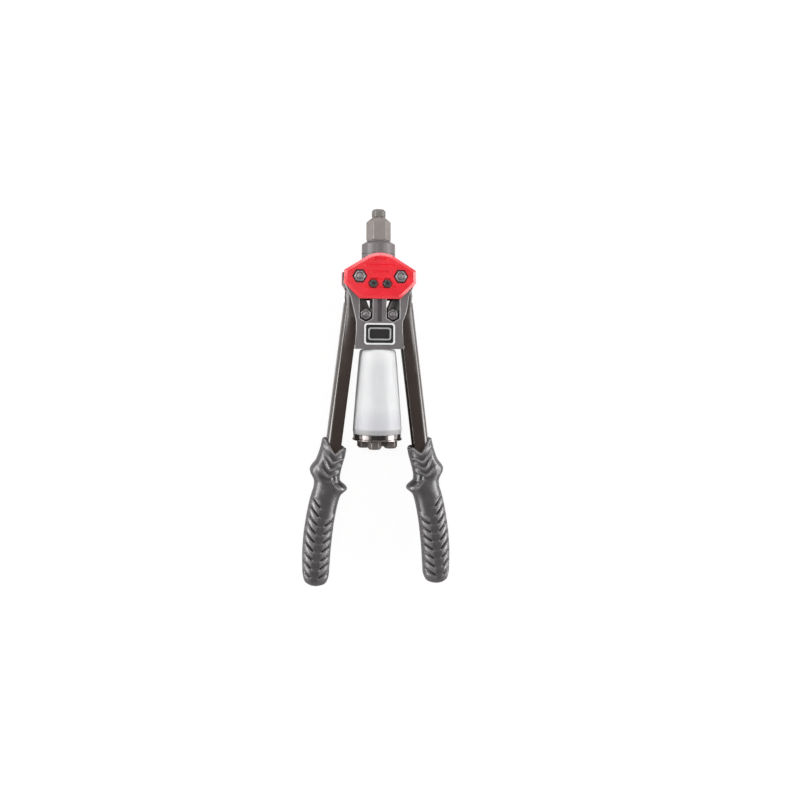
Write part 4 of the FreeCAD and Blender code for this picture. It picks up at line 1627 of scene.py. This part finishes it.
    def vertex(self, row: float, angle: float, inset: float) -> tuple[Vector, float]:
        """A point of the surface and its level of painted light and shade.

        Args:
            row: the row's place along the grip at its middle.
            angle: the angle round the section, 0 on the outer side.
            inset: how far inside the surface the point lies.

        Returns:
            The point in millimetres, on the right side of the tool, and its level of painted
            light: 0 is painted shade in the grooves, 1 a painted highlight on the crests.
        """
        power = 2 / self.squareness
        unit_x = math.copysign(abs(math.cos(angle)) ** power, math.cos(angle))
        unit_z = math.copysign(abs(math.sin(angle)) ** power, math.sin(angle))
        across = self.across(row, unit_x)
        along = row - self.forward(row, across)
        droop = ease(0.7, 1.0, -unit_x) * 4.0 + ease(0.82, 1.0, unit_x) * 2.6
        along += droop * (1 - ease(158.0, 170.0, row))
        shrink = self.end_shrink(row)
        half = self.across(along, 1.0) - self.across(along, 0.0)
        centre = self.across(along, 0.0)
        half *= 0.12 + 0.88 * shrink
        height = smooth_curve(self.half_height, along) * (0.25 + 0.75 * shrink)
        push = self.ridge_relief(row, across) + self.chevron_relief(row, across)
        push *= 1 - ease(0.82, 0.99, abs(unit_x))
        push += self.guard_relief(along, across)
        # Painted light: crests get a painted highlight, grooves and hollows get painted shade.
        light_level = min(1.0, max(0.0, 0.5 + 0.45 * push))
        facing = Vector((unit_x / half, unit_z / height)).normalized()
        side_inset = inset * self.side_wall / self.collar_wall
        point = self.line.point(along, centre + half * unit_x + (push - side_inset) * facing.x,
                                height * unit_z + (push - inset) * facing.y)
        return point, light_level

    @staticmethod
    def guard_relief(along: float, across: float) -> float:
        """The hollow in front of the finger guard and the crest that curls into it.

        Args:
            along: the point's place along the grip.
            across: the point's place across the grip.

        Returns:
            The height in millimetres, negative in the hollow.
        """
        inward = ease(-1.0, -8.0, across)
        crest = 184.6 - 4.0 * (1 - ease(-3.0, -8.0, across))
        hollow = -1.5 * math.exp(-((along - crest + 5.2) / 2.6) ** 2)
        return inward * (hollow + 0.5 * math.exp(-((along - crest) / 1.5) ** 2))

    def across(self, along: float, unit: float) -> float:
        """The place across the grip at a share of its half width.

        Args:
            along: the place along the grip.
            unit: -1 on the inner edge, 1 on the outer edge.

        Returns:
            The place in millimetres.
        """
        out = smooth_curve(self.outer_edge, along)
        inner = smooth_curve(self.inner_edge, along)
        return (out - inner) / 2 + (out + inner) / 2 * unit

    def rows(self) -> list[tuple[float, float]]:
        """The rows of the mesh, from inside the collar to the end.

        Returns:
            Each row as (place, inset).
        """
        wall = self.collar_wall
        rows = [(self.first + self.collar_depth * t, wall) for t in (1.0, 0.6, 0.25)]
        rows += [(self.first + 0.8 * (1 - math.sin(math.pi * t / 8)),
                  wall * (0.5 + 0.5 * math.cos(math.pi * t / 8))) for t in range(9)]
        place = self.first + 0.8 + self.step
        while place < self.last - 4:
            rows.append((place, 0.0))
            place += self.step
        rows += [(self.last - 4 + 4 * math.sin(math.pi / 2 * t / 10), 0.0)
                 for t in range(1, 11)]
        return rows

    def build(self, side: Side, body: Body) -> bpy.types.Object:
        """Make a grip.

        Args:
            side: the side of the tool.
            body: the body that it rides on.

        Returns:
            The piece.
        """
        bm = bmesh.new()
        # The layer that carries the grip's painted highlight and painted shade.
        painted_light = bm.verts.layers.float_color.new(PAINTED_LIGHT)
        ring = bmesh.ops.create_circle(bm, cap_ends=False, radius=1,
                                       segments=self.around)["verts"]
        rows = self.rows()
        edges = list(bm.edges)
        self.seat(ring, rows[0], painted_light)
        first_ring = list(ring)
        for row in rows[1:]:
            grown = bmesh.ops.extrude_edge_only(bm, edges=edges)["geom"]
            edges = [item for item in grown if isinstance(item, bmesh.types.BMEdge)]
            fresh = {vert for edge in edges for vert in edge.verts}
            ring = [next(edge.other_vert(vert) for edge in vert.link_edges
                         if edge.other_vert(vert) in fresh) for vert in ring]
            self.seat(ring, row, painted_light)
        bm.faces.new(ring)
        bm.faces.new(first_ring)
        bmesh.ops.recalc_face_normals(bm, faces=bm.faces)
        if side is Side.LEFT:
            bm = mirrored_copy(bm)
        return new_piece(bm, f"{side.word}_grip_moulded", body, "grip", "grip_rubber",
                         [f"{side.word}_grip"], 50)

    def seat(self, ring: list[bmesh.types.BMVert], row: tuple[float, float],
             painted_light: bmesh.types.BMLayerItem) -> None:
        """Move a ring's vertices to a row and note how far each stands out, as its painted light.

        Args:
            ring: the vertices in their order round the grip.
            row: the row as (place, inset).
            painted_light: the layer that the note goes into.
        """
        for i, vert in enumerate(ring):
            vert.co, light_level = self.vertex(row[0], math.tau * i / self.around, row[1])
            vert[painted_light] = (light_level,) * 3 + (1.0,)


# ------------------------------------------------------------------------- bottle
@dataclass
class Bottle:
    """The milky bottle for spent stems and its plated base."""

    wall: float = 1.6
    lip: float = 13.6
    lip_round: float = 2.6
    shoulder: float = 16.6
    shoulder_length: float = 6.8
    neck_bore: float = 12.05
    neck_length: float = 10.3
    heel: float = 4.5
    end: float = 20.9
    swell: float = 0.14
    plug: float = 19.0
    plug_length: float = 3.4
    band: float = 21.0
    band_length: float = 4.3
    edge: float = 0.3
    spare_bore: float = 4.0

    def build_bottle(self) -> bpy.types.Object:
        """Make the bottle.

        Returns:
            The piece.
        """
        extent = Extent("bottle")
        top, end = extent.high.y, extent.low.y
        widest = extent.size.x / 2
        heel = end + self.heel
        outside = [(self.neck_bore, top), (self.lip, top)]
        for i in range(1, 9):
            angle = math.pi / 2 * i / 8
            outside.append((self.lip + self.lip_round * math.sin(angle),
                            top - 4.0 * (1 - math.cos(angle))))
        steps = 16
        for i in range(steps + 1):
            t = i / steps
            outside.append((self.shoulder + (widest - self.shoulder) * t
                            + self.swell * math.sin(math.pi * t),
                            top - self.shoulder_length
                            + (heel - top + self.shoulder_length) * t))
        for i in range(1, 7):
            t = i / 6
            outside.append((widest - (widest - self.end) * t ** 2.4, heel - self.heel * t))
        inside = [(self.end - self.wall, end), (widest - self.wall, heel),
                  (self.shoulder - self.wall, top - self.neck_length),
                  (self.neck_bore, top - self.neck_length)]
        bm = turned(outside + inside, 128, closed=True)
        return new_piece(bm, "bottle_blown", Body.BOTTLE, "bottle", "milky_plastic",
                         ["bottle"], 40)

    def build_base(self) -> bpy.types.Object:
        """Make the plated base with its band and flange.

        Returns:
            The piece.
        """
        extent = Extent("bottle_base")
        top, end = extent.high.y, extent.low.y
        flange = extent.size.x / 2
        band_top = top - self.plug_length
        band_end = band_top - self.band_length
        edge = self.edge
        profile = [(0.0, top), (self.plug, top), (self.plug, band_top),
                   (self.band - edge, band_top), (self.band, band_top - edge),
                   (self.band, band_end + 0.5), (self.band - 0.35, band_end + 0.2),
                   (self.band - 0.35, band_end), (flange - edge, band_end),
                   (flange, band_end - edge), (flange, end + edge), (flange - edge, end),
                   (flange - 2.2, end), (flange - 2.5, end + 0.35),
                   (flange - 3.4, end + 0.35), (flange - 3.7, end), (0.0, end)]
        bm = turned(profile, 160)
        for number in range(1, 5):
            spare = Extent(f"spare_nosepiece_{number}").centre
            drill = turned([(0, top + 2), (self.spare_bore, top + 2),
                            (self.spare_bore, end - 2), (0, end - 2)], 40)
            bmesh.ops.translate(drill, vec=(spare.x, 0, spare.z), verts=drill.verts)
            bm = with_boolean(bm, drill)
        return new_piece(bm, "bottle_base_plated", Body.BOTTLE, "base", "bright_steel",
                         ["bottle_base"], 30)


# ------------------------------------------------------------------------- works
WORKS: dict[str, tuple[Body, str]] = {
    "right_crank_pin": (Body.RIGHT_ARM, "working"),
    "left_crank_pin": (Body.LEFT_ARM, "working"),
    "right_front_link": (Body.RIGHT_LINKS, "working"),
    "right_rear_link": (Body.RIGHT_LINKS, "working"),
    "left_front_link": (Body.LEFT_LINKS, "working"),
    "left_rear_link": (Body.LEFT_LINKS, "working"),
    "crosshead": (Body.CROSSHEAD, "working"),
    "pull_rod": (Body.CROSSHEAD, "working"),
    "lock_nut": (Body.CROSSHEAD, "fastener"),
    "jaw_case": (Body.CROSSHEAD, "working"),
    "jaw_spring": (Body.CROSSHEAD, "working"),
    "jaw_1": (Body.JAWS, "working"),
    "jaw_2": (Body.JAWS, "working"),
    "jaw_3": (Body.JAWS, "working"),
    "jaw_pusher": (Body.JAWS, "working"),
}


def build_works() -> None:
    """Dress the links, crosshead, rod and jaws, with their edges broken."""
    slots = {entry["node"]: entry["material_slot"] for entry in frame["record"]["subparts"]}
    for node, (body, finish) in WORKS.items():
        if node == "jaw_spring":
            item = frame["nodes"][node]
            item.data.materials.clear()
            item.data.materials.append(FINISHES.material(finish))
            continue
        bm = softened_node(node, 0.25, 2)
        new_piece(bm, f"{node}_eased", body, finish, slots[node], [node], 35)


# ------------------------------------------------------------------------- studio
@dataclass(frozen=True)
class Card:
    """A glowing card: place and size in metres, its level and whether it faces the tool."""

    name: str
    place: tuple[float, float, float]
    size: tuple[float, float]
    level: float
    faces_tool: bool = False


@dataclass(frozen=True)
class Lamp:
    """A soft lamp: where it stands, its two sides in metres and its power in watts."""

    name: str
    place: tuple[float, float, float]
    size: tuple[float, float]
    power: float


@dataclass
class Studio:
    """A pale floor, soft lamps, cards for the sheen and the camera above the tool."""

    distance: float = 685.0
    foot_y: float = -120.2
    roll: float = 6.5
    turn: float = 0.41
    lens: float = 34.9
    shift: tuple[float, float] = (0.02785, -0.0675)
    fill: float = 0.42
    aim: tuple[float, float, float] = (0.0, -0.16, 0.0)
    cards: tuple[Card, ...] = (
        Card("grey_card", (0.0, -0.59, 1.3), (1.8, 1.42), 0.15),
        Card("left_card", (-1.0, -0.17, 0.5), (1.1, 0.6), 7.5, True),
        Card("right_card", (1.0, -0.17, 0.5), (1.1, 0.6), 7.5, True),
        Card("nose_card", (0.0, 0.85, 0.42), (1.2, 0.34), 7.0, True),
    )
    lamps: tuple[Lamp, ...] = (
        Lamp("left_overhead", (-0.32, 0.1, 1.05), (0.3, 0.4), 2.4),
        Lamp("right_overhead", (0.6, 0.0, 0.9), (0.25, 0.4), 1.6),
        Lamp("left_strip", (-1.0, -0.2, 0.3), (1.2, 0.3), 6.5),
        Lamp("right_strip", (1.0, -0.15, 0.3), (1.2, 0.3), 6.5),
        Lamp("nose_strip", (0.0, 0.85, 0.18), (1.3, 0.26), 1.4),
    )

    def build(self, floor_height: float) -> None:
        """Set up the stage, lamps, surround and camera.

        Args:
            floor_height: the height of the tool's lowest point in metres.
        """
        self.floor(floor_height)
        self.surround()
        for lamp in self.lamps:
            self.light(lamp)
        for card in self.cards:
            self.hang(card)
        self.camera()

    @staticmethod
    def sheet(name: str, graph: Graph) -> bpy.types.Object:
        """A square sheet, 1 m to each side of its middle, kept out of the tool.

        Args:
            name: the sheet's name.
            graph: its material.

        Returns:
            The sheet.
        """
        bm = bmesh.new()
        bmesh.ops.create_grid(bm, x_segments=1, y_segments=1, size=1)
        mesh = bpy.data.meshes.new(name)
        bm.to_mesh(mesh)
        bm.free()
        mesh.materials.append(graph.material)
        sheet = bpy.data.objects.new(name, mesh)
        bpy.context.scene.collection.objects.link(sheet)
        return sheet

    def floor(self, height: float) -> None:
        """A wide white floor that keeps the tool's soft shadow.

        Args:
            height: the floor's height in metres.
        """
        graph = Graph("stage_floor")
        graph.set(Base_Color=rgba((0.9, 0.88, 0.87)), Roughness=0.7)
        path = graph.add("ShaderNodeLightPath", output="Is Camera Ray")
        glow = graph.add("ShaderNodeEmission", None, {"Color": (1, 1, 1, 1), "Strength": 1.05})
        paint = Signal(graph, graph.shader.outputs[0])
        blend = graph.add("ShaderNodeMixShader", None, {0: path * 0.87, 1: paint, 2: glow})
        graph.tree.links.new(blend.socket, graph.tree.nodes["Material Output"].inputs[0])
        floor = self.sheet("floor", graph)
        floor.scale = (6, 6, 1)
        floor.location = (0, 0, height)

    def turn_to_tool(self, place: Sequence[float]) -> Euler:
        """The turn that faces the tool from a place."""
        return (Vector(self.aim) - Vector(place)).to_track_quat("-Z", "Y").to_euler()

    def hang(self, card: Card) -> None:
        """Hang a glowing card that only the tool's sheen sees.

        Args:
            card: its place, size and level.
        """
        graph = Graph(f"stage_{card.name}")
        glow = graph.add("ShaderNodeEmission", None,
                         {"Color": (1, 1, 1, 1), "Strength": card.level})
        graph.tree.links.new(glow.socket, graph.tree.nodes["Material Output"].inputs[0])
        sheet = self.sheet(card.name, graph)
        sheet.scale = (card.size[0] / 2, card.size[1] / 2, 1)
        sheet.location = card.place
        if card.faces_tool:
            sheet.rotation_euler = self.turn_to_tool(card.place)
        sheet.visible_camera = False
        sheet.visible_diffuse = False
        sheet.visible_shadow = False
        sheet.visible_transmission = False

    def surround(self) -> None:
        """A white surround for the camera and the sheen over a calmer light."""
        world = bpy.data.worlds.new("studio")
        bpy.context.scene.world = world
        world.use_nodes = True
        tree = world.node_tree
        background = tree.nodes["Background"]
        path = tree.nodes.new("ShaderNodeLightPath")
        seen = path.outputs["Is Camera Ray"]
        for kind in ("Is Glossy Ray", "Is Transmission Ray"):
            either = tree.nodes.new("ShaderNodeMath")
            either.operation = "MAXIMUM"
            tree.links.new(seen, either.inputs[0])
            tree.links.new(path.outputs[kind], either.inputs[1])
            seen = either.outputs[0]
        strength = tree.nodes.new("ShaderNodeMapRange")
        tree.links.new(seen, strength.inputs["Value"])
        strength.inputs["To Min"].default_value = self.fill
        strength.inputs["To Max"].default_value = 1.0
        tree.links.new(strength.outputs[0], background.inputs["Strength"])
        background.inputs["Color"].default_value = (1, 1, 1, 1)

    def light(self, lamp: Lamp) -> None:
        """Hang an area lamp that faces the tool.

        Args:
            lamp: its place, size and power.
        """
        data = bpy.data.lights.new(lamp.name, "AREA")
        data.shape = "RECTANGLE"
        data.size, data.size_y = lamp.size
        data.energy = lamp.power
        item = bpy.data.objects.new(lamp.name, data)
        item.location = lamp.place
        item.rotation_euler = self.turn_to_tool(lamp.place)
        bpy.context.scene.collection.objects.link(item)

    def camera(self) -> None:
        """The camera above the tool, a little to its left."""
        data = bpy.data.cameras.new("camera")
        data.lens = self.lens
        data.sensor_width = 36
        data.clip_start = 0.01
        data.shift_x, data.shift_y = self.shift
        camera = bpy.data.objects.new("camera", data)
        bpy.context.scene.collection.objects.link(camera)
        roll = math.radians(self.roll)
        target = Vector((0, self.foot_y, 0)) * MM
        place = target + Vector((-math.sin(roll), 0, math.cos(roll))) * self.distance * MM
        camera.matrix_world = (Matrix.Translation(place)
                               @ Matrix.Rotation(-roll, 4, "Y")
                               @ Matrix.Rotation(math.radians(self.turn), 4, "Z"))
        bpy.context.scene.camera = camera


def build_nose() -> None:
    """The nosepiece and its sleeve."""
    Nosepiece("nosepiece", Body.FRAME).build()
    NoseSleeve().build()


def build_head() -> None:
    """The casting, covers, badge and fasteners."""
    Casting().build()
    cover = Cover()
    cover.build("front_cover", True)
    cover.build("rear_cover", False)
    Badge().build()
    for side in Side:
        HexBolt(f"{side.word}_pivot_bolt", Body.FRAME).build()
        HexNut(f"{side.word}_pivot_nut", Body.FRAME).build()
        HexBolt(f"{side.word}_link_bolt", Body.CROSSHEAD).build()
        HexNut(f"{side.word}_link_nut", Body.CROSSHEAD).build()
        CoverScrew(f"{side.word}_front_screw").build()
        CoverScrew(f"{side.word}_rear_screw", rear=True).build()


def build_arms() -> None:
    """Both arms with their grips."""
    line = ArmLine()
    for side, body in ((Side.RIGHT, Body.RIGHT_ARM), (Side.LEFT, Body.LEFT_ARM)):
        Arm(line).build(side, body)
        Grip(line).build(side, body)


def build_bottle() -> None:
    """The bottle, its base and the spare nosepieces."""
    bottle = Bottle()
    bottle.build_bottle()
    bottle.build_base()
    for number in range(1, 5):
        Nosepiece(f"spare_nosepiece_{number}", Body.BOTTLE, spare=True).build()


def main() -> None:
    """Build the tool's looks and the studio."""
    logging.basicConfig(level=logging.INFO, format="%(message)s")
    build_nose()
    build_head()
    build_arms()
    build_works()
    build_bottle()
    Studio().build(CAD_BOX[0][2])
    bpy.context.scene.view_settings.view_transform = "Standard"


if __name__ == "__main__":
    main()
